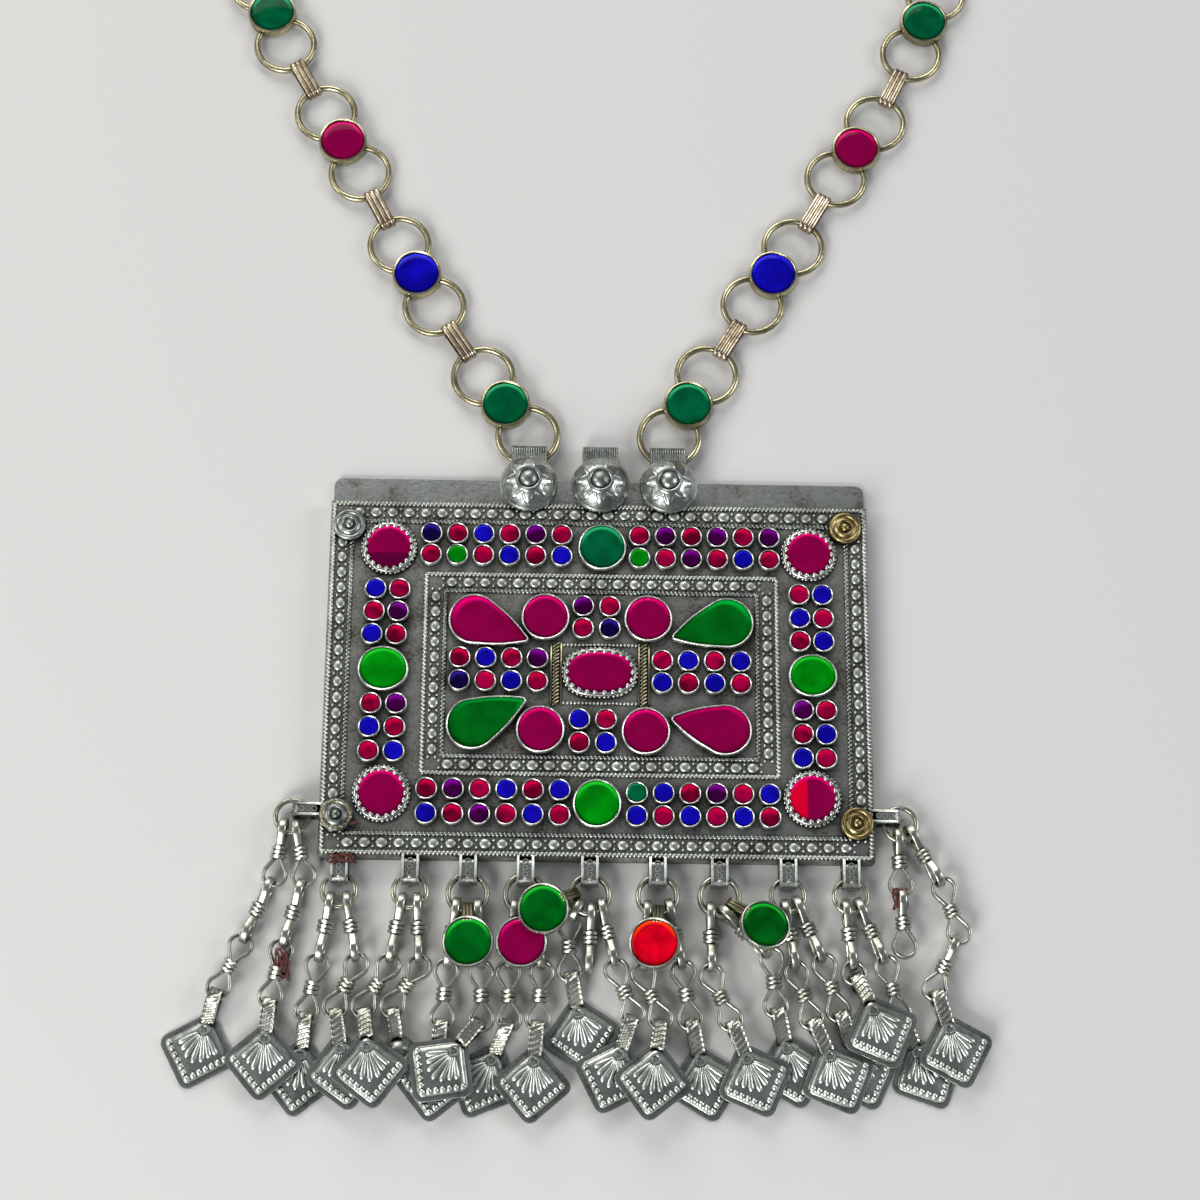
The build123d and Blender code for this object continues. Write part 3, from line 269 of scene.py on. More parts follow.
class Build:
    """Collects vertices in millimetres, faces, a material for each face and a spot for each vertex."""

    def __init__(self):
        self.verts, self.faces, self.materials, self.spots = [], [], [], []

    def take(self, verts, faces, materials, spots, place):
        first = len(self.verts)
        self.verts.extend(verts if place is None else [(place @ Vector(v))[:] for v in verts])
        self.faces.extend([[first + i for i in face] for face in faces])
        self.materials.extend(materials)
        self.spots.extend(spots)

    def add(self, shape, material, place=None):
        """Adds a shape: vertices, faces and, for a stone, spots. Its faces may have a list of materials."""
        verts, faces = shape[0], shape[1]
        materials = material if isinstance(material, list) else [material] * len(faces)
        spots = shape[2] if len(shape) > 2 else [(0.0, 0.0, 0.0)] * len(verts)
        self.take(verts, faces, materials, spots, place)

    def merge(self, other, place):
        """Adds all of another build, in place."""
        self.take(other.verts, other.faces, other.materials, other.spots, place)

    def finish(self, name, slot=None, smooth=40, node=None):
        """Makes one piece that rides the root, and that may be shown in place of a solid."""
        mesh = bpy.data.meshes.new(name)
        mesh.from_pydata([(x * MM, y * MM, z * MM) for x, y, z in self.verts], [], self.faces)
        mesh.validate()
        shell = bmesh.new()
        shell.from_mesh(mesh)
        bmesh.ops.recalc_face_normals(shell, faces=shell.faces)
        shell.to_mesh(mesh)
        shell.free()
        numbers = {material: i for i, material in enumerate(dict.fromkeys(self.materials))}
        for material in numbers:
            mesh.materials.append(material)
        mesh.polygons.foreach_set("material_index", [numbers[material] for material in self.materials])
        spots = mesh.attributes.new("spot", "FLOAT_VECTOR", "POINT")
        spots.data.foreach_set("vector", [c for spot in self.spots for c in spot])
        mesh.polygons.foreach_set("use_smooth", [True] * len(mesh.polygons))
        mesh.set_sharp_from_angle(angle=radians(smooth))
        piece = bpy.data.objects.new(name, mesh)
        bpy.context.scene.collection.objects.link(piece)
        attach(piece, "root")
        if node:
            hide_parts(node)

    def detail(self, node, slot, smooth):
        """Makes the piece that is shown in place of one solid."""
        self.finish(node + "_detail", slot, smooth, node)


def at(x, y, z=0.0, turn=0.0):
    """A place, turned about Z in degrees."""
    return Matrix.Translation((x, y, z)) @ Matrix.Rotation(radians(turn), 4, "Z")


def tilted(angle, axis):
    """A turn about one axis through the origin, in degrees."""
    return Matrix.Rotation(radians(angle), 4, axis)


ON_EDGE = tilted(90, "Y")


def heading(angle):
    """Unit vector at an angle from -Y towards +X, in degrees."""
    return Vector((sin(radians(angle)), -cos(radians(angle)), 0.0))


def flat(points):
    """Points in the XY plane as vectors."""
    return [Vector((x, y, 0)) for x, y in points]


def scaled(outline, share, cx=0.0, cy=0.0):
    """An outline drawn in towards a point."""
    return [(cx + (x - cx) * share, cy + (y - cy) * share) for x, y in outline]


def middle_of(outline):
    """An outline's mean point, and how far it reaches from there."""
    cx = sum(x for x, _ in outline) / len(outline)
    cy = sum(y for _, y in outline) / len(outline)
    return cx, cy, max(hypot(x - cx, y - cy) for x, y in outline)


def outward(path, i):
    """Unit vector out of a closed path at one of its points."""
    return (path[(i + 1) % len(path)] - path[i - 1]).normalized().cross(UP)


def circle(radius, count):
    return [(radius * cos(tau * i / count), radius * sin(tau * i / count))
            for i in range(count)]


def rectangle(x0, x1, y0, y1):
    return [(x0, y0), (x1, y0), (x1, y1), (x0, y1)]


def quads(rows, count, closed=False):
    """Faces between rows of vertices, and from the last row to the first where the rows are closed."""
    faces = []
    for row in range(rows if closed else rows - 1):
        low, high = row * count, (row + 1) % rows * count
        for i in range(count):
            j = (i + 1) % count
            faces.append([low + i, low + j, high + j, high + i])
    return faces


def lathe(profile, count, sx=1.0, sy=1.0):
    """A profile of (radius, height) turned about Z, closed where its ends reach the axis."""
    verts, faces, rows = [], [], []
    for radius, z in profile:
        if radius < 1e-6:
            rows.append([len(verts)] * count)
            verts.append((0.0, 0.0, z))
        else:
            rows.append(list(range(len(verts), len(verts) + count)))
            verts.extend([(x * sx, y * sy, z) for x, y in circle(radius, count)])
    for low, high in zip(rows, rows[1:]):
        for i in range(count):
            j = (i + 1) % count
            face = [low[i], low[j], high[j], high[i]]
            faces.append([v for k, v in enumerate(face) if v != face[k - 1]])
    return verts, faces


def sweep(path, section, closed=True):
    """A section of (across, up) carried along a flat path of vectors; across lies in the path's plane."""
    verts = []
    count, size = len(path), len(section)
    for i, point in enumerate(path):
        before = path[i - 1] if closed or i > 0 else point
        after = path[(i + 1) % count] if closed or i < count - 1 else point
        across = (after - before).normalized().cross(UP).normalized()
        verts.extend([(point + across * a + UP * b)[:] for a, b in section])
    faces = quads(count, size, closed)
    if not closed:
        faces.append(list(range(size)))
        faces.append([(count - 1) * size + k for k in reversed(range(size))])
    return verts, faces


def torus(radius, wire, steps, sides):
    return sweep(flat(circle(radius, steps)), circle(wire, sides))


def dome(rx, ry, rz, around, down):
    """The upper half of an ellipsoid."""
    angles = [pi / 2 * i / down for i in reversed(range(down + 1))]
    verts, faces = lathe([(sin(a), cos(a)) for a in angles], around)
    return [(x * rx, y * ry, z * rz) for x, y, z in verts], faces


def stack(levels):
    """Outlines of (points, height) with equal counts, one above another, closed below and above."""
    count = len(levels[0][0])
    verts = [(x, y, z) for points, z in levels for x, y in points]
    faces = quads(len(levels), count)
    faces.append([(len(levels) - 1) * count + i for i in range(count)])
    faces.append(list(reversed(range(count))))
    return verts, faces


def slab(outline, z0, z1, bevel):
    """An outline raised from z0 to z1 with a small bevel round its top."""
    cx, cy, reach = middle_of(outline)
    return stack([(outline, z0), (outline, z1 - bevel), (scaled(outline, 1 - bevel / reach, cx, cy), z1)])


def box(x0, x1, y0, y1, z0, z1, bevel=0.12):
    return slab(rectangle(x0, x1, y0, y1), z0, z1, bevel)


def arc(cx, cy, radius, start, end, steps):
    """Points round part of a circle, from one angle to another in radians."""
    angles = [start + (end - start) * i / steps for i in range(steps + 1)]
    return [(cx + radius * cos(angle), cy + radius * sin(angle)) for angle in angles]


def pear(big, small, reach, steps):
    """Outline points round two circles, one at the origin and a smaller one at -Y."""
    lean = asin((big - small) / reach)
    upper = steps * 2 // 3
    tip = arc(0, -reach, small, pi + lean, tau - lean, steps - upper)
    return arc(0, 0, big, -lean, pi + lean, upper) + tip


def pear_loop(radius, tip, wall, reach, steps=26):
    """The middle line of a wire or strap bent into a pear, from the radii of its outer side."""
    return flat(pear(radius - wall / 2, tip - wall / 2, reach, steps))


def round_square(side, radius, steps=4):
    """Outline of a square with round corners, corner up, centred on the origin."""
    middle = side / 2 - radius
    points = []
    for quarter, (sx, sy) in enumerate(((1, 1), (-1, 1), (-1, -1), (1, -1))):
        start = pi / 2 * quarter
        points += arc(sx * middle, sy * middle, radius, start, start + pi / 2, steps)
    return [((x - y) / sqrt(2), (x + y) / sqrt(2)) for x, y in points]


def slot_path(length, height, steps):
    """Centre line of a flattened loop in the XY plane, long in Y."""
    r = height / 2
    straight = length / 2 - r
    points = []
    for side, start in ((1, 0.0), (-1, pi)):
        points += arc(0, side * straight, r, start, start + pi, steps)
        points += [(-side * r, side * straight * (1 - i / 2)) for i in range(1, 4)]
    return flat(points)


def wire_section(wall, width, steps=5):
    """A thick wire's section with round edges: across is its wall, up its width."""
    radius = wall / 2
    straight = width / 2 - radius
    low = arc(0, -straight, radius, pi, tau, steps)
    return low + arc(0, straight, radius, 0.0, pi, steps)


def ridged_section(wall, width, ridges, rise):
    """A band's section with rounded ridges along its outer side."""
    a, b = wall / 2, width / 2
    points = [(-a, b), (-a, -b)]
    pitch = width / ridges
    for i in range(ridges):
        low = -b + i * pitch
        points.extend([(a - rise + rise * lift, low + pitch * share) for share, lift in RIDGE_PROFILE])
    return points


def resample(path, count):
    """A closed path as evenly spaced points, and the length of a step."""
    lengths = [(path[(i + 1) % len(path)] - path[i]).length for i in range(len(path))]
    step = sum(lengths) / count
    points = []
    i, done = 0, 0.0
    for k in range(count):
        while done + lengths[i] < k * step:
            done += lengths[i]
            i += 1
        points.append(path[i].lerp(path[(i + 1) % len(path)], (k * step - done) / lengths[i]))
    return points, step


def band(path, wall, width, lift, steps, across):
    """A strap bent into a loop; lift(along, over) raises its outer side, over running from -1 to 1."""
    points, step = resample(path, steps)
    half = wall / 2
    verts = []
    for i, point in enumerate(points):
        out = outward(points, i)
        section = [(-half, width / 2), (-half, -width / 2)]
        for k in range(across + 1):
            over = 2 * k / across - 1
            section.append((half + lift(i * step, over), over * width / 2))
        verts.extend([(point.x + out.x * a, point.y + out.y * a, b) for a, b in section])
    return verts, quads(steps, across + 3, closed=True)


def hatched(along, over):
    """Slanting ridges between two plain edges."""
    if abs(over) > 0.9:
        return 0.0
    return HATCH_DEPTH / 2 * (cos(tau * (along / HATCH_PITCH + over * HATCH_SLANT)) - 1)


def ribbed(along, over):
    """Fine ribs that run along a wide strap."""
    return RIB_DEPTH * (abs(cos(pi * over * RIBS / 2)) - 1)


def cabochon(outline, z_low, z_rim, z_top, rings=5):
    """A polished stone: its outline's wall, then a low dome. Each vertex keeps its place in the stone, which
    places the glass's painted highlight and painted shade.
    """
    count = len(outline)
    cx, cy, reach = middle_of(outline)
    levels = [(1.0, z_low)]
    for i in range(rings):
        share = cos(pi / 2 * i / rings)
        levels.append((share, z_rim + (z_top - z_rim) * sqrt(1 - share**2.6)))
    verts, spots = [], []
    for share, z in levels:
        for x, y in outline:
            dx, dy = (x - cx) * share, (y - cy) * share
            verts.append((cx + dx, cy + dy, z))
            spots.append((dx / reach, dy / reach, share))
    faces = quads(len(levels), count)
    last, top = rings * count, len(verts)
    verts.append((cx, cy, z_top))
    spots.append((0.0, 0.0, 0.0))
    faces.extend([[last + i, last + (i + 1) % count, top] for i in range(count)])
    faces.append(list(reversed(range(count))))
    return verts, faces, spots


def collar(outline, wall, top=RIM_TOP, lean=0.05):
    """A bezel wall on an outline, from just inside the cover to a rounded rim that leans in a little."""
    half, low = wall / 2, FACE_TOP - 0.1
    section = [(-half, low), (half, low), (half, top - 0.3), (half * 0.7 - lean, top - 0.08), (-lean, top),
               (-half * 0.8 - lean, top - 0.08), (-half - lean, top - 0.3)]
    return sweep(flat(outline), section)


def hanging_cup(radius, wall, low, top, floor, foot, lip):
    """A bezel cup with a rounded foot and lip."""
    return lathe([(0, low), (radius - foot, low), (radius, low + foot), (radius, top - lip),
                  (radius - 0.15, top - 0.05), (radius - lip, top), (radius - wall, top - 0.15),
                  (radius - wall, floor), (0, floor)], 48)


# Materials

class Look:
    """A material whose nodes are added one by one."""

    def __init__(self, name):
        self.material = bpy.data.materials.new(name)
        self.material.use_nodes = True
        self.tree = self.material.node_tree

    def feed(self, node, inputs):
        """Sets a node's inputs, each to a value or joined to an output."""
        for key, value in inputs.items():
            if isinstance(value, bpy.types.NodeSocket):
                self.tree.links.new(value, node.inputs[key])
            else:
                node.inputs[key].default_value = value

    def add(self, kind, inputs=None, **settings):
        node = self.tree.nodes.new(kind)
        for key, value in settings.items():
            setattr(node, key, value)
        self.feed(node, inputs or {})
        return node

    def object_place(self):
        return self.add("ShaderNodeTexCoord").outputs["Object"]

    def noise(self, scale, detail, roughness=0.5, where=None):
        inputs = {"Scale": scale, "Detail": detail, "Roughness": roughness}
        if where is not None:
            inputs["Vector"] = where
        return self.add("ShaderNodeTexNoise", inputs).outputs["Fac"]

    def ramp(self, value, *stops):
        """Colours along a value's range."""
        node = self.add("ShaderNodeValToRGB", {"Fac": value})
        elements = node.color_ramp.elements
        for i, (place, colour) in enumerate(stops):
            stop = elements[i] if i < 2 else elements.new(place)
            stop.position = place
            stop.color = (*colour, 1.0)
        return node.outputs["Color"]

    def rise(self, value, start, end, first=0.0, last=1.0):
        """A value's way from start to end, turned into one from first to last and held outside it."""
        inputs = {"Value": value, "From Min": start, "From Max": end, "To Min": first, "To Max": last}
        return self.add("ShaderNodeMapRange", inputs).outputs["Result"]

    def product(self, a, b):
        return self.add("ShaderNodeMath", {0: a, 1: b}, operation="MULTIPLY").outputs[0]

    def tinted(self, share, ground, colour):
        """A colour laid over the ground by a share."""
        inputs = {0: share, 6: ground, 7: (*colour, 1.0)}
        return self.add("ShaderNodeMix", inputs, data_type="RGBA").outputs[2]

    def bump(self, height, strength, distance, over=None):
        inputs = {"Height": height, "Strength": strength, "Distance": distance}
        if over is not None:
            inputs["Normal"] = over
        return self.add("ShaderNodeBump", inputs).outputs["Normal"]

    def shade(self, inputs):
        """Feeds the shader and gives the material."""
        self.feed(self.tree.nodes["Principled BSDF"], inputs)
        return self.material


def metal(name, light, mid, dark, rough, crevice=0.0013, grain=1.0, tarnish_and_shade=0.95):
    """Old metal: bright where it is worn, finely uneven, and dark in its hollows with tarnish and with
    painted shade from ambient occlusion.
    """
    look = Look(name)
    where = look.object_place()
    patches = look.noise(140.0, 6.0, 0.65, where)
    fine = look.noise(1500.0, 4.0, 0.6, where)
    uneven = look.add("ShaderNodeMix", {0: 0.35, 2: patches, 3: fine}, data_type="FLOAT").outputs[0]
    tones = look.ramp(uneven, (0.38, dark), (0.63, light), (0.5, mid))
    # Ambient occlusion darkens the colour in hollows and beside raised parts: painted shade, laid over the
    # tarnish that the old metal has there.
    hollow = look.add("ShaderNodeAmbientOcclusion", {"Distance": crevice}, samples=6)
    hollow_shade = look.ramp(hollow.outputs["AO"], (0.4, (0.012, 0.016, 0.02)), (0.9, (1.0, 1.0, 1.0)))
    inputs = {0: tarnish_and_shade, 6: tones, 7: hollow_shade}
    darkened = look.add("ShaderNodeMix", inputs, data_type="RGBA", blend_type="MULTIPLY")
    broad = look.bump(patches, 0.3 * grain, 0.0005)
    return look.shade({
        "Base Color": darkened.outputs[2],
        "Roughness": look.rise(uneven, 0.3, 0.7, rough + 0.14, rough - 0.08),
        "Normal": look.bump(fine, 0.35 * grain, 0.00012, broad),
        "Metallic": 1.0,
    })


def glass(name, body, bright, deep, vary=0.3, part=None, glow=(0.8, 0.92)):
    """Foil-backed glass: a flat deep colour, with a painted highlight in a bright crescent at its upper edge,
    painted shade on its lower rim and a faint painted glow.
    """
    look = Look(name)
    spot = look.add("ShaderNodeAttribute", attribute_name="spot").outputs["Vector"]
    axes = look.add("ShaderNodeSeparateXYZ", {0: spot}).outputs
    where = look.object_place()
    pale, rich = ([c * share for c in body] for share in (1 - vary, 1 + vary))
    ground = look.ramp(look.noise(210.0, 2.0, where=where), (0.35, pale), (0.65, rich))
    if part:
        axis, start, end, colour = part
        ground = look.tinted(look.rise(axes[axis], start, end), ground, colour)
    # Painted highlight: a bright crescent near the upper edge, where light would shine through the glass;
    # painted shade darkens the lower rim.
    painted_highlight = look.product(look.rise(axes["Y"], 0.1, 0.65), look.rise(axes["Z"], *glow))
    shadow = look.product(look.rise(axes["Z"], 0.82, 1.0), look.rise(axes["Y"], 0.1, -0.6))
    colour = look.tinted(shadow, look.tinted(painted_highlight, ground, bright), deep)
    return look.shade({
        "Base Color": colour,
        # A faint emission in the same colour makes the glass glow a little: a painted glow.
        "Emission Color": colour,
        "Emission Strength": 0.1,
        "Normal": look.bump(look.noise(900.0, 3.0, where=where), 0.04, 0.0001),
        "Roughness": 0.07,
        "Specular IOR Level": 0.08,
    })


def old_thread():
    """Faded dark red thread."""
    look = Look("old thread")
    tones = look.ramp(look.noise(2500.0, 3.0), (0.3, (0.05, 0.012, 0.012)), (0.7, (0.16, 0.05, 0.04)))
    return look.shade({"Base Color": tones, "Roughness": 0.95})


# Metals: the worn, the usual and the tarnished colour, then the roughness and what differs from the usual
SILVER = metal("tarnished silver", (0.545, 0.575, 0.525), (0.33, 0.35, 0.32), (0.12, 0.135, 0.13), 0.33)
# The cover sheets' painted shade reaches further, darkening them round the bezels and borders.
SHEET = metal("plain silver sheet", (0.56, 0.555, 0.50), (0.34, 0.335, 0.30), (0.105, 0.092, 0.074), 0.36,
              crevice=0.0022)
BACKING = metal("backing sheet", (0.60, 0.62, 0.585), (0.43, 0.445, 0.42), (0.19, 0.165, 0.135), 0.34,
                crevice=0.0022)
WORN = metal("worn high points", (0.72, 0.75, 0.68), (0.57, 0.60, 0.53), (0.34, 0.36, 0.32), 0.40,
             crevice=0.0011)
BEADS = metal("border beads", (0.60, 0.63, 0.565), (0.46, 0.485, 0.43), (0.27, 0.285, 0.25), 0.40,
              crevice=0.0011)
BRIGHT = metal("bright silver", (0.62, 0.65, 0.60), (0.48, 0.505, 0.465), (0.31, 0.33, 0.30), 0.24,
               crevice=0.0009, grain=0.2)
RIM = metal("bezel silver", (0.79, 0.81, 0.76), (0.61, 0.625, 0.58), (0.35, 0.36, 0.33), 0.27,
            crevice=0.001)
CUP = metal("hanging bezel silver", (0.66, 0.68, 0.60), (0.46, 0.475, 0.41), (0.20, 0.21, 0.18), 0.28,
            crevice=0.001)
CHAIN = metal("aged silver", (0.60, 0.55, 0.36), (0.43, 0.39, 0.24), (0.20, 0.175, 0.105), 0.28,
              grain=0.5, tarnish_and_shade=0.9)
COPPERY = metal("worn strap", (0.66, 0.57, 0.44), (0.45, 0.37, 0.26), (0.19, 0.14, 0.095), 0.3,
                crevice=0.0008, grain=0.6)
BRASS = metal("worn brass", (0.56, 0.44, 0.20), (0.34, 0.26, 0.11), (0.12, 0.085, 0.04), 0.32)
RELIEF = metal("stamped relief", (0.86, 0.89, 0.82), (0.68, 0.71, 0.64), (0.36, 0.38, 0.34), 0.34,
               crevice=0.0011, grain=0.5)
PLAQUE = metal("stamped silver", (0.74, 0.77, 0.70), (0.50, 0.52, 0.475), (0.20, 0.215, 0.195), 0.29,
               crevice=0.0008, grain=0.6, tarnish_and_shade=0.98)
RINGS = metal("jump rings", (0.68, 0.67, 0.53), (0.52, 0.515, 0.40), (0.27, 0.265, 0.20), 0.28,
              grain=0.4, tarnish_and_shade=0.9)
LINKS = metal("link silver", (0.70, 0.71, 0.61), (0.53, 0.54, 0.46), (0.27, 0.28, 0.235), 0.3,
              grain=0.45)

# Glass: the body's colour, the painted highlight's colour at the upper edge, the painted shade's colour on
# the lower rim, and how far the body varies
CRIMSON = ((0.19, 0.0, 0.042), (0.80, 0.0, 0.16), (0.06, 0.0, 0.015), 0.1)
GLASS = {
    "crimson": glass("crimson glass", *CRIMSON),
    "crimson_dusk": glass("crimson glass with a dark part", *CRIMSON,
                          part=("Y", -0.27, -0.31, (0.085, 0.0, 0.028))),
    "crimson_dawn": glass("crimson glass with a red part", *CRIMSON,
                          part=("X", -0.18, -0.28, (0.55, 0.0, 0.02))),
    "crimson_small": glass("small crimson glass", (0.19, 0.0, 0.026), (0.56, 0.0, 0.045),
                           (0.05, 0.0, 0.01), 0.55, glow=(0.2, 0.75)),
    "red": glass("red glass", (0.50, 0.0, 0.01), (1.0, 0.05, 0.0), (0.12, 0.0, 0.0), 0.35),
    "blue": glass("blue glass", (0.004, 0.002, 0.30), (0.02, 0.02, 0.85), (0.0, 0.0, 0.05)),
    "green": glass("green glass", (0.0, 0.19, 0.003), (0.01, 0.60, 0.02), (0.0, 0.04, 0.0), 0.25),
    "teal": glass("teal glass", (0.0, 0.08, 0.028), (0.02, 0.42, 0.16), (0.0, 0.02, 0.008), 0.25),
    "dark_green": glass("dark green glass", (0.0, 0.095, 0.006), (0.0, 0.42, 0.04), (0.0, 0.02, 0.0), 0.2),
    "purple": glass("purple glass", (0.032, 0.0, 0.034), (0.22, 0.0, 0.30), (0.008, 0.0, 0.01), 0.4,
                    glow=(0.3, 0.9)),
    "navy": glass("navy glass", (0.004, 0.001, 0.03), (0.03, 0.01, 0.32), (0.0, 0.0, 0.006),
                  glow=(0.4, 0.95)),
    "disc_green": glass("hanging green glass", (0.0, 0.085, 0.006), (0.01, 0.50, 0.025), (0.0, 0.03, 0.0)),
}


# Case

def length_and_turn(start, end):
    """The length of a line on the cover, and its turn in degrees."""
    dx, dy = end[0] - start[0], end[1] - start[1]
    return hypot(dx, dy), degrees(atan2(dy, dx))


def rope(build, start, end, material, flip):
    """A twisted wire between two points: slanting strands side by side on a core."""
    length, turn = length_and_turn(start, end)
    (x0, y0), (x1, y1) = start, end
    count = round(length / ROPE_PITCH)
    twist = dome(ROPE_RADIUS * 1.5, ROPE_PITCH * 0.42, ROPE_RADIUS, 8, 3)
    for i in range(count):
        t = (i + 0.5) / count
        slant = turn + flip * ROPE_SLANT + dice.uniform(-4, 4)
        build.add(twist, material, at(x0 + (x1 - x0) * t, y0 + (y1 - y0) * t, FACE_TOP, slant))
    half = ROPE_RADIUS * 0.6
    build.add(box(0, length, -half, half, 0, ROPE_RADIUS / 2, 0.05), material, at(x0, y0, FACE_TOP, turn))


def bead_row(build, start, end, count):
    """Large flattened beads in a row, with a pair of tiny beads in each gap."""
    length, turn = length_and_turn(start, end)
    pitch = length / count
    along = Vector((end[0] - start[0], end[1] - start[1], 0)).normalized()
    across = along.cross(UP)
    large = lathe(BEAD_PROFILE, 14, min(1.4, pitch * 0.37), 1.18)
    tiny = dome(*TINY_BEAD)
    for i in range(count + 1):
        point = Vector((*start, FACE_TOP)) + along * (i * pitch)
        for side in (TINY_BEAD_SIDE, -TINY_BEAD_SIDE):
            build.add(tiny, WORN, at(*(point + across * side)))
        if i < count:
            place = at(*(point + along * (pitch / 2)), turn + dice.uniform(-6, 6))
            build.add(large, BEADS, place @ Matrix.Scale(dice.uniform(0.93, 1.05), 4))


def corners_of(item, dx, dy):
    """A border's corners, moved in."""
    return rectangle(item.x0 + dx, item.x1 - dx, item.y0 + dy, item.y1 - dy)


def border(build, item):
    """A border of beads between two twisted wires, on each of its four sides."""
    half = ROPE_WIDTH / 2
    outer = corners_of(item, half, half)
    inner = corners_of(item, item.side_width - half, item.cross_width - half)
    for corners, material, flip in ((outer, WORN, 1), (inner, SILVER, -1)):
        for k in range(4):
            rope(build, corners[k], corners[(k + 1) % 4], material, flip)
    (x0, y0), _, (x1, y1), _ = corners_of(item, item.side_width / 2, item.cross_width / 2)
    for y in (y0, y1):
        bead_row(build, (x0 + BEAD_CLEAR, y), (x1 - BEAD_CLEAR, y), item.across)
    for x in (x0, x1):
        bead_row(build, (x, y0 + BEAD_CLEAR), (x, y1 - BEAD_CLEAR), item.down)


def small_frame(build, item):
    """Twisted strips at the sides of the centre stone, and tiny beads above and below it."""
    half, low = item.side_width / 2, item.cross_width / 2
    twist, bead = dome(*FRAME_TWIST), dome(*FRAME_BEAD)
    for x in (item.x0 + half, item.x1 - half):
        for i in range(item.down):
            y = item.y0 + low + i * FRAME_PITCH
            build.add(twist, CHAIN, at(x, y, FACE_TOP, FRAME_SLANT + dice.uniform(-3, 3)))
        for edge in (x - half, x + half):
            left, right = edge - FRAME_EDGE, edge + FRAME_EDGE
            build.add(box(left, right, item.y0, item.y1, FACE_TOP, FACE_TOP + 0.45, 0.08), CHAIN)
    start = item.x0 + item.side_width + FRAME_CLEAR
    length = item.x1 - item.side_width - FRAME_CLEAR - start
    for y in (item.y0 + low, item.y1 - low):
        for i in range(item.across):
            build.add(bead, WORN, at(start + length * (i + 0.5) / item.across, y, FACE_TOP))


def setting_outline(item, inset_by):
    """A setting's outline, moved in; the long one is fuller than an ellipse."""
    power = 1.0 if item.width - item.height < 2 else 0.8
    rx, ry = item.width / 2 - inset_by, item.height / 2 - inset_by
    return [(item.x + copysign(abs(x) ** power, x) * rx, item.y + copysign(abs(y) ** power, y) * ry)
            for x, y in circle(1.0, 64)]


def tear_outline(tear, inset_by):
    """A pear outline in place, shrunk evenly, with flanks that bulge a little."""
    dx, dy = tear.tip_x - tear.x, tear.tip_y - tear.y
    reach = hypot(dx, dy) - inset_by * 0.6
    arcs = pear(TEAR_RADIUS - inset_by, max(TEAR_TIP - inset_by, 0.12), reach, TEAR_STEPS)
    split = TEAR_STEPS * 2 // 3 + 1
    points = []
    for start, end in ((0, split), (split, len(arcs))):
        points.extend(arcs[start:end])
        (ax, ay), (bx, by) = arcs[end - 1], arcs[end % len(arcs)]
        fx, fy = bx - ax, by - ay
        for i in range(1, FLANK_STEPS):
            share = i / FLANK_STEPS
            bulge = TEAR_BULGE * sin(pi * share) / hypot(fx, fy)
            points.append((ax + fx * share + fy * bulge, ay + fy * share - fx * bulge))
    turn = atan2(dx, -dy)
    c, s = cos(turn), sin(turn)
    return [(tear.x + x * c - y * s, tear.y + x * s + y * c) for x, y in points]


def teeth(build, item):
    """A gallery of broad folded teeth that lean over the stone, above a rim of small grains."""
    edge, _ = resample(flat(setting_outline(item, 0.3)), EDGE_STEPS)
    count = round(pi * (item.width + item.height - 2.4) / 2 / TOOTH_PITCH)
    verts, faces = dome(*TOOTH)
    tooth = [(x, y, z * (1.0 - 0.25 * y)) for x, y, z in verts], faces
    grain = dome(*GRAIN)
    for i in range(count * 2):
        k = round((i + dice.uniform(-0.1, 0.1)) * EDGE_STEPS / (count * 2)) % EDGE_STEPS
        out = outward(edge, k)
        turn = degrees(atan2(out.y, out.x)) - 90
        if i % 2 == 0:
            inner = edge[k] - out * 0.45
            build.add(tooth, RIM, at(inner.x, inner.y, RIM_TOP - 0.66, turn))
        outer = edge[k] + out * 0.4
        build.add(grain, RIM, at(outer.x, outer.y, FACE_TOP + 0.45, turn))


def small_spots():
    """Each small stone's colour and place."""
    for row in SMALL_ROWS:
        for step, letter in enumerate(row.colours):
            yield COLOURS[letter], row.x + step * row.pitch, row.y


def face():
    """The case's cover with its borders and bezels."""
    build = Build()
    cover = rectangle(-HALF_W, HALF_W, -HALF_H, HALF_H)
    build.add(slab(cover, BACK_TOP + 0.05, FACE_TOP, 0.35), SHEET)
    for item in BORDERS:
        border(build, item)
    small_frame(build, SMALL_FRAME)
    ring = collar(circle(SMALL_BEZEL - SMALL_WALL / 2, 28), SMALL_WALL)
    for _, x, y in small_spots():
        build.add(ring, RIM, at(x, y, 5.3) @ tilted(dice.uniform(-1.5, 1.5), "X") @ at(0, 0, -5.33))
    for item in SETTINGS:
        if item.serrated:
            outline = setting_outline(item, SERRATED_WALL / 2)
            build.add(collar(outline, SERRATED_WALL, RIM_TOP - 0.55, 0.06), RIM)
            teeth(build, item)
        else:
            build.add(collar(setting_outline(item, WALL / 2 - SPREAD), WALL, RIM_TOP, 0.06), RIM)
    for tear in TEARS:
        build.add(collar(tear_outline(tear, WALL / 2 - SPREAD), WALL), RIM)
    build.detail("face_plate", "tarnished_silver", smooth=50)


def stone(node, outline, look, glass_slot, top=STONE_TOP):
    """One of the main stones."""
    build = Build()
    build.add(cabochon(outline, STONE_LOW, STONE_EDGE, top, 6), GLASS[look])
    build.detail(node, "glass_" + glass_slot, smooth=60)


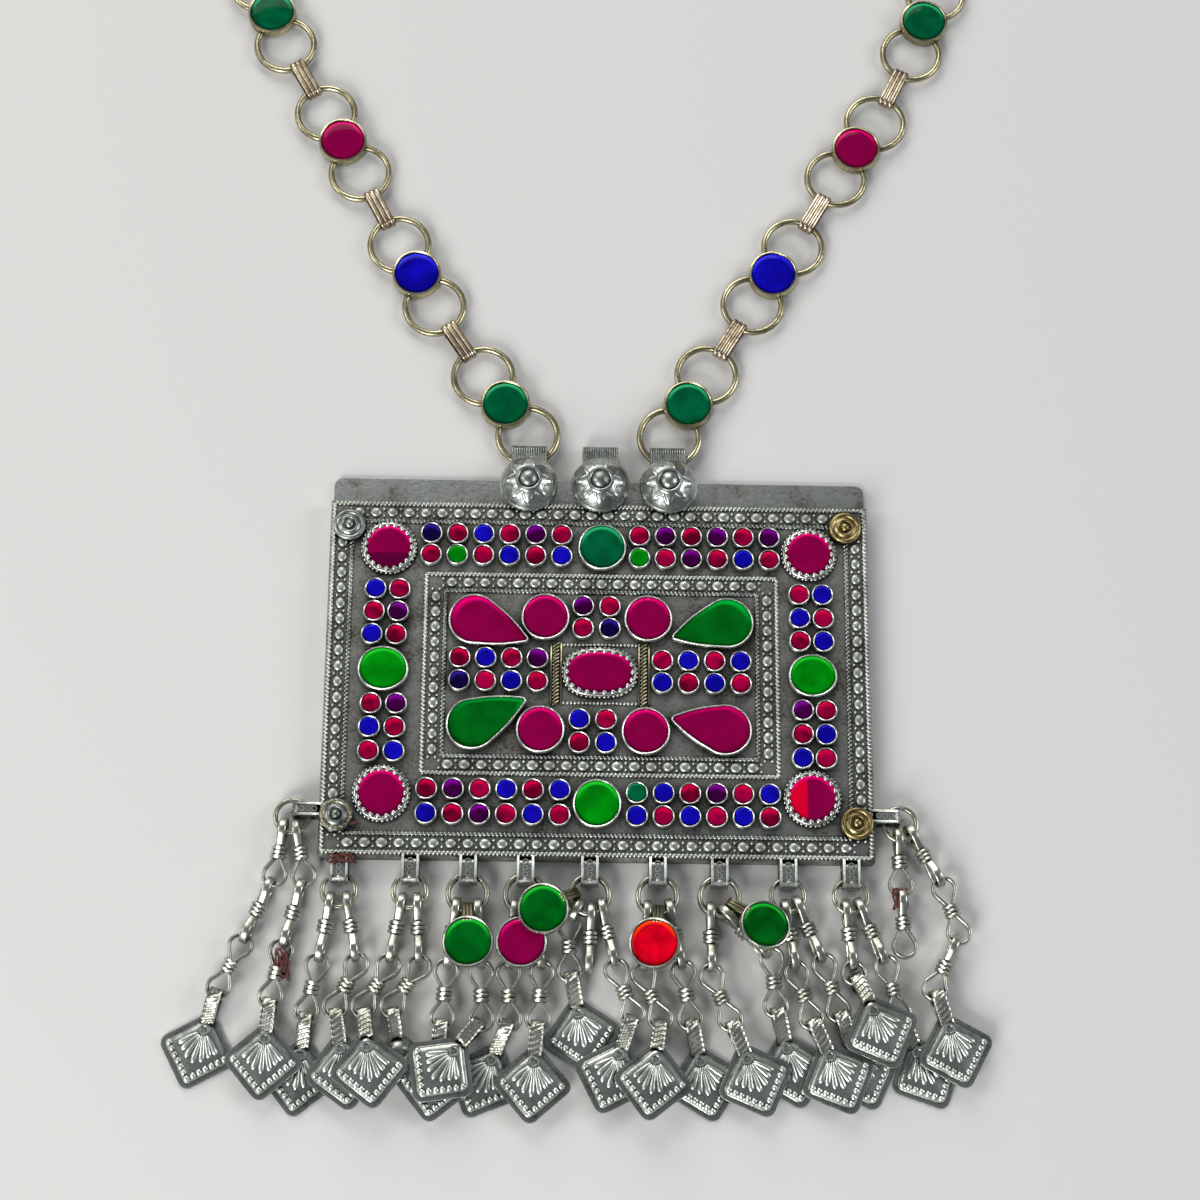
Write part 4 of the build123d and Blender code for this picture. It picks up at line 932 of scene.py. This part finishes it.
def stones():
    """Every stone of the face, polished and slightly domed."""
    outline = circle(SMALL_BEZEL - SMALL_WALL - STONE_GAP, 24)
    fields = {}
    for colour, x, y in small_spots():
        look = "crimson_small" if colour == "crimson" else colour
        if colour == "green" and y == TEAL_ROW_Y:
            look = "teal"
        polished = cabochon(outline, STONE_LOW, STONE_EDGE, STONE_TOP - dice.uniform(0.0, 0.12))
        field = fields.setdefault(colour, Build())
        field.add(polished, GLASS[look], at(x, y, 0, dice.uniform(-25, 25)))
    for colour, field in fields.items():
        field.detail("small_stones_" + colour, "glass_" + colour, smooth=60)
    for item in SETTINGS:
        inset = SERRATED_WALL + SERRATED_GAP if item.serrated else WALL + STONE_GAP - SPREAD
        stone(item.name, setting_outline(item, inset), TWO_TONED.get(item.name, item.glass), item.glass)
    for tear in TEARS:
        outline = tear_outline(tear, WALL + STONE_GAP - SPREAD)
        stone(tear.name, outline, tear.glass, tear.glass, STONE_TOP - 0.1)


def rosettes():
    """Corner ornaments of concentric rings, one with a beaded rim."""
    for spot in ROSETTES:
        build = Build()
        brass = spot.metal == "brass"
        build.add(lathe(ROSETTE_PROFILE, 40), BRASS if brass else SILVER, at(spot.x, spot.y, ROSETTE_Z))
        if spot.metal == "mixed":
            for x, y in circle(3.1, 18):
                build.add(dome(*ROSETTE_BEAD), BRASS, at(spot.x + x, spot.y + y, ROSETTE_Z + 0.5))
        build.detail(spot.name, "brass" if brass else "tarnished_silver", smooth=50)


def star_edge(angle):
    """How far out a boss's punched star reaches, as a share of the boss's radius."""
    return STAR_INNER + STAR_REACH * abs((angle * STAR_POINTS / tau) % 1.0 * 2 - 1)


def hump(distance, width):
    """A smooth rise that is 1 in its middle."""
    return exp(-((distance / width) ** 2))


def dome_height(radius, angle):
    """A boss's surface: a ringed bead on a plain dome, and a punched star with a small rise on each point."""
    share = radius / BOSS_RADIUS
    dome_radius = (BOSS_RADIUS**2 + BOSS_HEIGHT**2) / (2 * BOSS_HEIGHT)
    height = sqrt(dome_radius**2 - radius**2) - (dome_radius - BOSS_HEIGHT)
    beyond = share - star_edge(angle)
    fade = max(0.0, min(1.0, (share - 0.44) / 0.05, (0.97 - share) / 0.04))
    height += fade * 0.13 * hump(beyond, 0.03)
    height -= fade * 0.12 * min(1.0, max(0.0, beyond / 0.05))
    aside = ((angle * STAR_POINTS / tau + 0.5) % 1.0 - 0.5) * tau / STAR_POINTS * radius
    off = (share - 0.78) * BOSS_RADIUS
    height += fade * 0.2 * hump(aside, 0.42) * hump(off, 0.55)
    height += 0.42 * hump(radius - 2.5, 0.3) + 0.1 * hump(share - 0.98, 0.02)
    if radius < BOSS_BEAD_RADIUS:
        height = BOSS_BEAD_LOW + BOSS_BEAD_RISE * sqrt(1 - (radius / BOSS_BEAD_RADIUS) ** 2)
    return height


def boss_dome():
    """A boss's dome, closed below, and each face's metal: the star and the ring are the brighter one, the
    bead's middle is darker as painted shade and the punched ground is darker with tarnish.
    """
    rings, count = 44, 144
    verts = [(0, 0, dome_height(0, 0))]
    faces = [[0, 1 + k, 1 + (k + 1) % count] for k in range(count)]
    for i in range(1, rings + 1):
        radius = BOSS_RADIUS * i / rings
        for x, y in circle(radius, count):
            verts.append((x, y, max(dome_height(radius, atan2(y, x)), 0.05)))
    verts.extend([(x, y, 0.0) for x, y in circle(BOSS_RADIUS, count)])
    for i in range(rings):
        a, b = 1 + i * count, 1 + (i + 1) * count
        for k in range(count):
            j = (k + 1) % count
            faces.append([a + k, b + k, b + j, a + j])
    faces.append([1 + rings * count + k for k in reversed(range(count))])
    metals = []
    for corners in faces:
        x, y = (sum(verts[v][axis] for v in corners) / len(corners) for axis in (0, 1))
        share = hypot(x, y) / BOSS_RADIUS
        # The bead's middle takes the darker metal as painted shade; the punched ground between the star and
        # the rim takes it for its tarnish.
        darker_metal = share < 0.3 or star_edge(atan2(y, x)) + 0.04 < share < 0.94
        metals.append(SILVER if darker_metal else BRIGHT)
    return (verts, faces), metals


def bosses():
    """Domed bosses, each with its stem, the ribbed strap that it covers and fine ribs on the flange."""
    punched, metals = boss_dome()
    tall = BOSS_LOOP_HIGH - BOSS_LOOP_LOW
    path = slot_path(BOSS_LOOP_REACH - BOSS_LOOP_WALL, tall - BOSS_LOOP_WALL, 10)
    strap = band(path, BOSS_LOOP_WALL, BOSS_LOOP_WIDTH, ribbed, 44, 90)
    stem = box(-2.0, 2.0, -4.0, -1.5, BACK_TOP + 0.1, BOSS_BASE + 0.4)
    for spot in BOSSES:
        build = Build()
        edge = at(spot.x, FLANGE_TOP_Y)
        build.add(punched, metals, edge @ at(0, -BOSS_BELOW, BOSS_BASE))
        build.add(stem, SILVER, edge)
        middle = at(0, 0.05 + BOSS_LOOP_REACH / 2, (BOSS_LOOP_HIGH + BOSS_LOOP_LOW) / 2)
        build.add(strap, SILVER, edge @ middle @ ON_EDGE)
        for i in range(FLANGE_RIBS):
            x = (i - FLANGE_RIBS / 2) * FLANGE_RIB_PITCH
            build.add(box(x, x + 0.5, -4.0, 0.3, BACK_TOP + 0.05, 1.9, 0.1), SILVER, edge)
        build.detail(spot.name, "bright_silver", smooth=50)


def bail_trim():
    """Edge ridges, three small rings and a bead on each bail, over the plain strap."""
    build = Build()
    places = [(at(x, -HALF_H - 0.05), BAIL_WIDTH) for x in BAIL_X]
    places += [(at(side * (HALF_W + 0.05), SIDE_BAIL_Y, 0, side * 90), SIDE_BAIL_WIDTH) for side in (-1, 1)]
    ridge = sweep(flat(BAIL_EDGE), circle(0.3, 6), closed=False)
    upright = ON_EDGE.inverted() @ Matrix.Scale(-1, 4, (1, 0, 0))
    for place, width in places:
        for x in (-width / 2 + 0.35, width / 2 - 0.35):
            build.add(ridge, WORN, place @ at(x, 0.0, BAIL_TOP - 0.02) @ upright)
        for y in (-0.9, -2.25, -3.6):
            build.add(torus(*BAIL_RING), WORN, place @ at(0, y, BAIL_TOP))
        build.add(dome(*BAIL_BEAD), WORN, place @ at(0, -4.5, BAIL_TOP - 0.12))
    build.finish("bail_trim", "tarnished_silver", smooth=50)


# Chain

def chain_route(side, shown):
    """Middles and leans of one side's units and straps in turn, as the solids have them."""
    boss = BOSSES[0] if side < 0 else BOSSES[-1]
    start = Vector((boss.x + side * CHAIN_OUT, FLANGE_TOP_Y + CHAIN_UP + RING_RADIUS, 0))

    def walk(turn_per_mm):
        places = []
        here, lean = start, 0
        for step in range(2 * len(CHAIN_COLOURS) - 1):
            length = UNIT_GAP if step % 2 else RING_SPACING
            lean = shown[step] if step < len(shown) else lean - turn_per_mm * length
            way = heading(180 - side * lean)
            places.append((here + way * (length / 2), side * lean))
            here = here + way * length
        return places, here

    # The turn in degrees per millimetre that brings the last unit to the clasp, found by halving a range
    gentle, sharp = 0.2, 1.6
    for _ in range(40):
        middle = (gentle + sharp) / 2
        if side * walk(middle)[1].x > CLASP_HALF + RING_RADIUS:
            gentle = middle
        else:
            sharp = middle
    return walk((gentle + sharp) / 2)[0]


def chain():
    """Rings, cups, straps and glass of both sides."""
    ring = torus(RING_RADIUS, RING_WIRE, 56, 12)
    cup = hanging_cup(CUP_RADIUS, CUP_WALL, -RING_WIRE, CUP_RISE, CUP_FLOOR, 0.2, 0.35)
    outline = circle(CUP_RADIUS - CUP_WALL - CUP_GAP, 48)
    polished = cabochon(outline, CUP_FLOOR + 0.05, CUP_RISE - 0.5, CUP_RISE - 0.15, 6)
    curve = RING_RADIUS - sqrt(RING_RADIUS**2 - (STRAP_WIDTH / 2) ** 2)
    height = 2 * (RING_WIRE + 0.15) + 2 * STRAP_WALL
    length = UNIT_GAP - 2 * RING_RADIUS + height + 2 * curve
    section = ridged_section(STRAP_WALL + 0.1, STRAP_WIDTH, 3, 0.26)
    strap = sweep(slot_path(length - STRAP_WALL, height - STRAP_WALL, 8), section)
    fields = {}
    for name, side, shown in (("chain_left", -1, CHAIN_LEFT), ("chain_right", 1, CHAIN_RIGHT)):
        places = chain_route(side, shown)
        build = Build()
        for colour, (place, lean) in zip(CHAIN_COLOURS, places[::2]):
            spot = at(place.x, place.y, CHAIN_Z, -lean)
            build.add(cup, CHAIN, spot)
            for y in (-RING_SPACING / 2, RING_SPACING / 2):
                build.add(ring, CHAIN, spot @ at(0, y))
            field = fields.setdefault(colour, Build())
            field.add(polished, GLASS[CHAIN_GLASS[colour]], at(place.x, place.y, CHAIN_Z))
        for place, lean in places[1::2]:
            build.add(strap, COPPERY, at(place.x, place.y, CHAIN_Z, -lean) @ ON_EDGE)
        build.detail(name, "aged_silver", smooth=40)
    for colour, field in fields.items():
        field.detail("chain_stones_" + colour, "glass_" + CHAIN_GLASS[colour], smooth=60)


# Drops

def jump_radius(bail):
    return DOUBLED_RADIUS if bail in DOUBLED else JUMP_RADIUS


def jump_centre(bail):
    """Middle of the jump ring or rings on a bail."""
    if bail in ("left", "right"):
        side = -1 if bail == "left" else 1
        return Vector((side * (HALF_W + SIDE_JUMP_OUT), SIDE_BAIL_Y - SIDE_JUMP_DOWN, 0))
    return Vector((BAIL_X[bail - 1], -HALF_H - BAIL_REACH + JUMP_INSIDE - jump_radius(bail), 0))


def jump_wire(bail, hung):
    """The point of a jump ring's wire where something hangs."""
    return jump_centre(bail) + heading(hung) * jump_radius(bail)


def link(kinds):
    """A wire-wrapped link of two loops and the coil between them, or a plain ring."""
    build = Build()
    section = wire_section(LOOP_WALL, LOOP_WIDTH)
    lie = {"V": ON_EDGE, "F": Matrix.Identity(4)}
    if kinds[0] == "R":
        build.add(sweep(flat(circle(LOOP_RADIUS - LOOP_WALL / 2, 32)), section), LINKS, lie[kinds[1]])
        return build
    reach = (LINK_REACH - COIL_LENGTH) / 2 + 0.2
    loop = sweep(pear_loop(LOOP_RADIUS, LOOP_TIP, LOOP_WALL, reach, 34), section)
    build.add(loop, LINKS, lie[kinds[0]])
    build.add(loop, LINKS, at(0, -LINK_REACH, 0, 180) @ lie[kinds[1]])
    wire = COIL_LENGTH / 6
    for turn in (-1, 0, 1):
        tilt = tilted(90 + dice.uniform(3, 7), "X")
        coil = torus(COIL_RADIUS - wire, wire * 0.93, 22, 7)
        place = at(0, -LINK_REACH / 2 + turn * wire * 1.9, 0, dice.uniform(-3, 3))
        build.add(coil, LINKS, place @ tilt)
    radius, half = COIL_RADIUS - 0.8, COIL_LENGTH / 2 - 0.2
    core = lathe([(0, -half), (radius, -half), (radius, half), (0, half)], 12)
    build.add(core, LINKS, at(0, -LINK_REACH / 2) @ tilted(90, "X"))
    return build


def plaque(lift):
    """A stamped diamond with a ring, a fan of ridges and two rows of beads, on a ribbed strap."""
    build = Build()
    under = lift - PLAQUE_UNDER
    body = at(0, -PLAQUE_BELOW, under)
    outer = round_square(PLAQUE_SIDE, PLAQUE_CORNER)
    low = round_square(PLAQUE_SIDE - 2.0, PLAQUE_CORNER - 0.6)
    high = round_square(PLAQUE_SIDE - 3.0, PLAQUE_CORNER - 0.9)
    levels = [(outer, 0.0), (outer, 0.45), (scaled(outer, 0.985), 0.62), (low, 0.62),
              (scaled(low, 0.97), 0.95), (high, 1.45)]
    levels += [(scaled(high, share), z) for share, z in PLAQUE_CROWN]
    build.add(stack(levels), PLAQUE, body)
    build.add(torus(*PLAQUE_RING), RELIEF, body @ at(0, FAN_HUB, 1.75))
    verts, faces = dome(*FAN_RIDGE)
    for step in range(FAN_RIDGES):
        angle = (step - FAN_RIDGES // 2) * FAN_STEP
        spread = radians(angle)
        near, far = 1.1, min(7.5, 8.6 / (abs(sin(spread)) + cos(spread)))
        middle = heading(angle) * (near + far) / 2
        ridge = [(x * (0.66 - 0.34 * y), copysign(abs(y) ** 0.6, y) * (far - near) / 2, z)
                 for x, y, z in verts]
        build.add((ridge, faces), RELIEF, body @ at(middle.x, FAN_HUB + middle.y, 1.72, angle))
    bead = dome(*PLAQUE_BEAD)
    reach = (PLAQUE_SIDE - 3.0) / 2 - 0.5
    steps = [-reach + reach * i / 3 for i in range(7)]
    for u, v in [(step, -reach) for step in steps] + [(-reach, step) for step in steps[1:]]:
        build.add(bead, RELIEF, body @ at((u - v) / sqrt(2), (u + v) / sqrt(2), 1.55))
    dip = degrees(asin((under + 1.05) / PLAQUE_BAIL_REACH))
    path = pear_loop(PLAQUE_BAIL, STRAP_TIP, PLAQUE_BAIL_WALL, PLAQUE_BAIL_REACH)
    build.add(band(path, PLAQUE_BAIL_WALL, 2.9, hatched, 60, 10), LINKS, tilted(-dip, "X") @ ON_EDGE)
    return build


def bell():
    """A small half-round bell on its strap."""
    build = Build()
    path = pear_loop(PLAQUE_BAIL, STRAP_TIP, PLAQUE_BAIL_WALL, BELL_BAIL_REACH)
    build.add(band(path, PLAQUE_BAIL_WALL, 2.6, hatched, 48, 8), LINKS, ON_EDGE)
    profile = [(3.1, 0.0), (3.58, 0.0), (3.58, 0.35), (3.35, 0.5)]
    for i in range(2, 11):
        angle = pi / 2 * i / 10
        profile.append((3.3 * cos(angle), 3.5 * sin(angle) + 0.05))
    build.add(lathe(profile, 28), PLAQUE, at(0, -BELL_BELOW, -PLAQUE_UNDER))
    build.add(dome(*BELL_BEAD), PLAQUE, at(0, -BELL_BELOW, 0.4))
    return build


def hang(build, drop, links):
    """The links of one drop from its jump ring down, then its plaque, its bell or nothing."""
    here = jump_wire(drop.bail, drop.hung) + heading(drop.headings[0]) * WIRE_IN_LOOP
    for step, (kinds, angle) in enumerate(zip(drop.links.split(), drop.headings)):
        if step > 0:
            upright = angle if kinds[0] == "V" else drop.headings[step - 1]
            here = here + heading(upright) * LOOPS_LINKED
        if kinds not in links:
            links[kinds] = link(kinds)
        build.merge(links[kinds], at(here.x, here.y, DROP_Z, angle))
        if kinds[0] != "R":
            here = here + heading(angle) * LINK_REACH
    end = here + heading(drop.plaque) * BAIL_LINKED
    place = at(end.x, end.y, DROP_Z, drop.plaque)
    if drop is BELL_DROP:
        build.merge(bell(), place)
    elif drop in DROPS:
        build.merge(plaque(drop.lift), place)


def drops():
    """Jump rings and strands, one piece for each bail."""
    links = {}
    for bail in ("left", *range(1, len(BAIL_X) + 1), "right"):
        build = Build()
        centre = jump_centre(bail)
        for z in (JUMP_LOW, JUMP_HIGH) if bail in DOUBLED else (JUMP_LOW,):
            build.add(torus(jump_radius(bail), JUMP_WIRE, 44, 10), RINGS, at(centre.x, centre.y, z))
        for drop in (*DROPS, *BARE_DROPS, BELL_DROP):
            if drop.bail == bail:
                hang(build, drop, links)
        build.detail(f"drops_{bail}", "tarnished_silver", smooth=45)


def discs():
    """Hanging discs: a cup on a ridged strap, and its glass."""
    middle = (JUMP_LOW + JUMP_HIGH) / 2
    cup = hanging_cup(DISC_RADIUS, DISC_WALL, 0, DISC_HEIGHT, DISC_FLOOR, 0.3, 0.3)
    outline = circle(DISC_RADIUS - DISC_WALL - CUP_GAP, 48)
    polished = cabochon(outline, DISC_FLOOR + 0.05, DISC_HEIGHT - 0.45, DISC_HEIGHT - 0.12, 6)
    for number, item in enumerate(DISCS, start=1):
        place = jump_wire(item.bail, item.hung)
        spot = at(place.x, place.y, 0, item.heading)
        low = DISC_Z + item.lift + item.raised
        seat = spot @ at(0, -item.reach, low) @ tilted(item.lean, "Y")
        run_out = item.reach - DISC_RADIUS + 0.6
        rise = low + DISC_HEIGHT / 2 - middle
        path = pear_loop(DISC_STRAP, STRAP_TIP, DISC_STRAP_WALL, hypot(run_out, rise))
        strap = sweep(path, ridged_section(DISC_STRAP_WALL, DISC_STRAP_WIDTH, 3, 0.2))
        slope = tilted(-degrees(atan2(rise, run_out)), "X")
        build = Build()
        build.add(cup, CUP, seat)
        build.add(strap, CHAIN, spot @ at(0, 0, middle) @ slope @ ON_EDGE)
        build.detail(f"disc_{number}", "tarnished_silver", smooth=40)
        glass_piece = Build()
        look = "disc_green" if item.colour == "green" else item.colour
        glass_piece.add(polished, GLASS[look], seat @ at(0, 0, 0, -item.heading))
        glass_piece.detail(f"disc_{number}_stone", "glass_" + item.colour, smooth=60)


def threads():
    """Short tangles of old thread caught on the metal."""
    build = Build()
    material = old_thread()
    for knot in KNOTS:
        path, steps = [], knot.turns * THREAD_STEPS
        phase = [dice.uniform(0, tau) for _ in range(3)]
        for i in range(steps):
            t = i / steps * tau * knot.turns
            wander = 1 + 0.35 * sin(t * 0.37 + phase[0])
            path.append(Vector((knot.x + knot.wide * wander * cos(t + phase[1]),
                                knot.y + knot.tall * wander * sin(t * 1.13 + phase[2]),
                                knot.z + 0.6 * sin(t * 0.71))))
        build.add(sweep(path, circle(THREAD_RADIUS, 6), closed=False), material)
    build.finish("thread_remnants")


# Stage

def lamp(name, place, size, power, colour):
    """A soft square light that points at the case."""
    light = bpy.data.lights.new(name, "AREA")
    light.energy = power
    light.size = size
    light.color = colour
    item = bpy.data.objects.new(name, light)
    item.location = place
    item.rotation_euler = (Vector(LIT_PLACE) - Vector(place)).to_track_quat("-Z", "Y").to_euler()
    bpy.context.scene.collection.objects.link(item)


def stage():
    """A plain pale floor, soft lights, and the camera at the photograph's angle."""
    bpy.ops.mesh.primitive_plane_add(size=FLOOR_SIZE, location=(0, 0, 0))
    floor = bpy.context.object
    floor.name = "floor"
    floor.data.materials.append(Look("pale floor").shade({"Base Color": FLOOR_COLOUR, "Roughness": 0.75}))
    world = bpy.data.worlds.new("studio")
    bpy.context.scene.world = world
    world.use_nodes = True
    sky = world.node_tree.nodes["Background"]
    sky.inputs["Color"].default_value = SKY_COLOUR
    sky.inputs["Strength"].default_value = SKY_STRENGTH
    lamp("back", (-0.25, 1.1, 0.72), 0.9, 10.0, (1.0, 0.98, 0.95))
    lamp("right", (1.0, 0.1, 0.7), 0.6, 5.0, (0.95, 0.97, 1.0))
    lamp("left", (-1.0, 0.1, 0.75), 0.6, 4.5, (1.0, 0.99, 0.97))
    lamp("front", (-0.5, -0.9, 0.62), 0.55, 12.0, (1.0, 1.0, 1.0))
    data = bpy.data.cameras.new("camera")
    data.lens = CAMERA_LENS
    data.sensor_width = CAMERA_SENSOR
    camera = bpy.data.objects.new("camera", data)
    bpy.context.scene.collection.objects.link(camera)
    turn = tilted(CAMERA_ROLL, "Z") @ tilted(CAMERA_YAW, "Y") @ tilted(CAMERA_PITCH, "X")
    back = turn.transposed()
    camera.matrix_world = Matrix.Translation(back @ Vector(CAMERA_PLACE)) @ back
    bpy.context.scene.camera = camera
    bpy.context.scene.view_settings.view_transform = "Standard"


for solid, finish in (("back_plate", BACKING), ("clasp_hook", CHAIN)):
    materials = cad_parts[solid].data.materials
    materials.clear()
    materials.append(finish)
face()
stones()
rosettes()
bosses()
bail_trim()
chain()
drops()
discs()
threads()
stage()
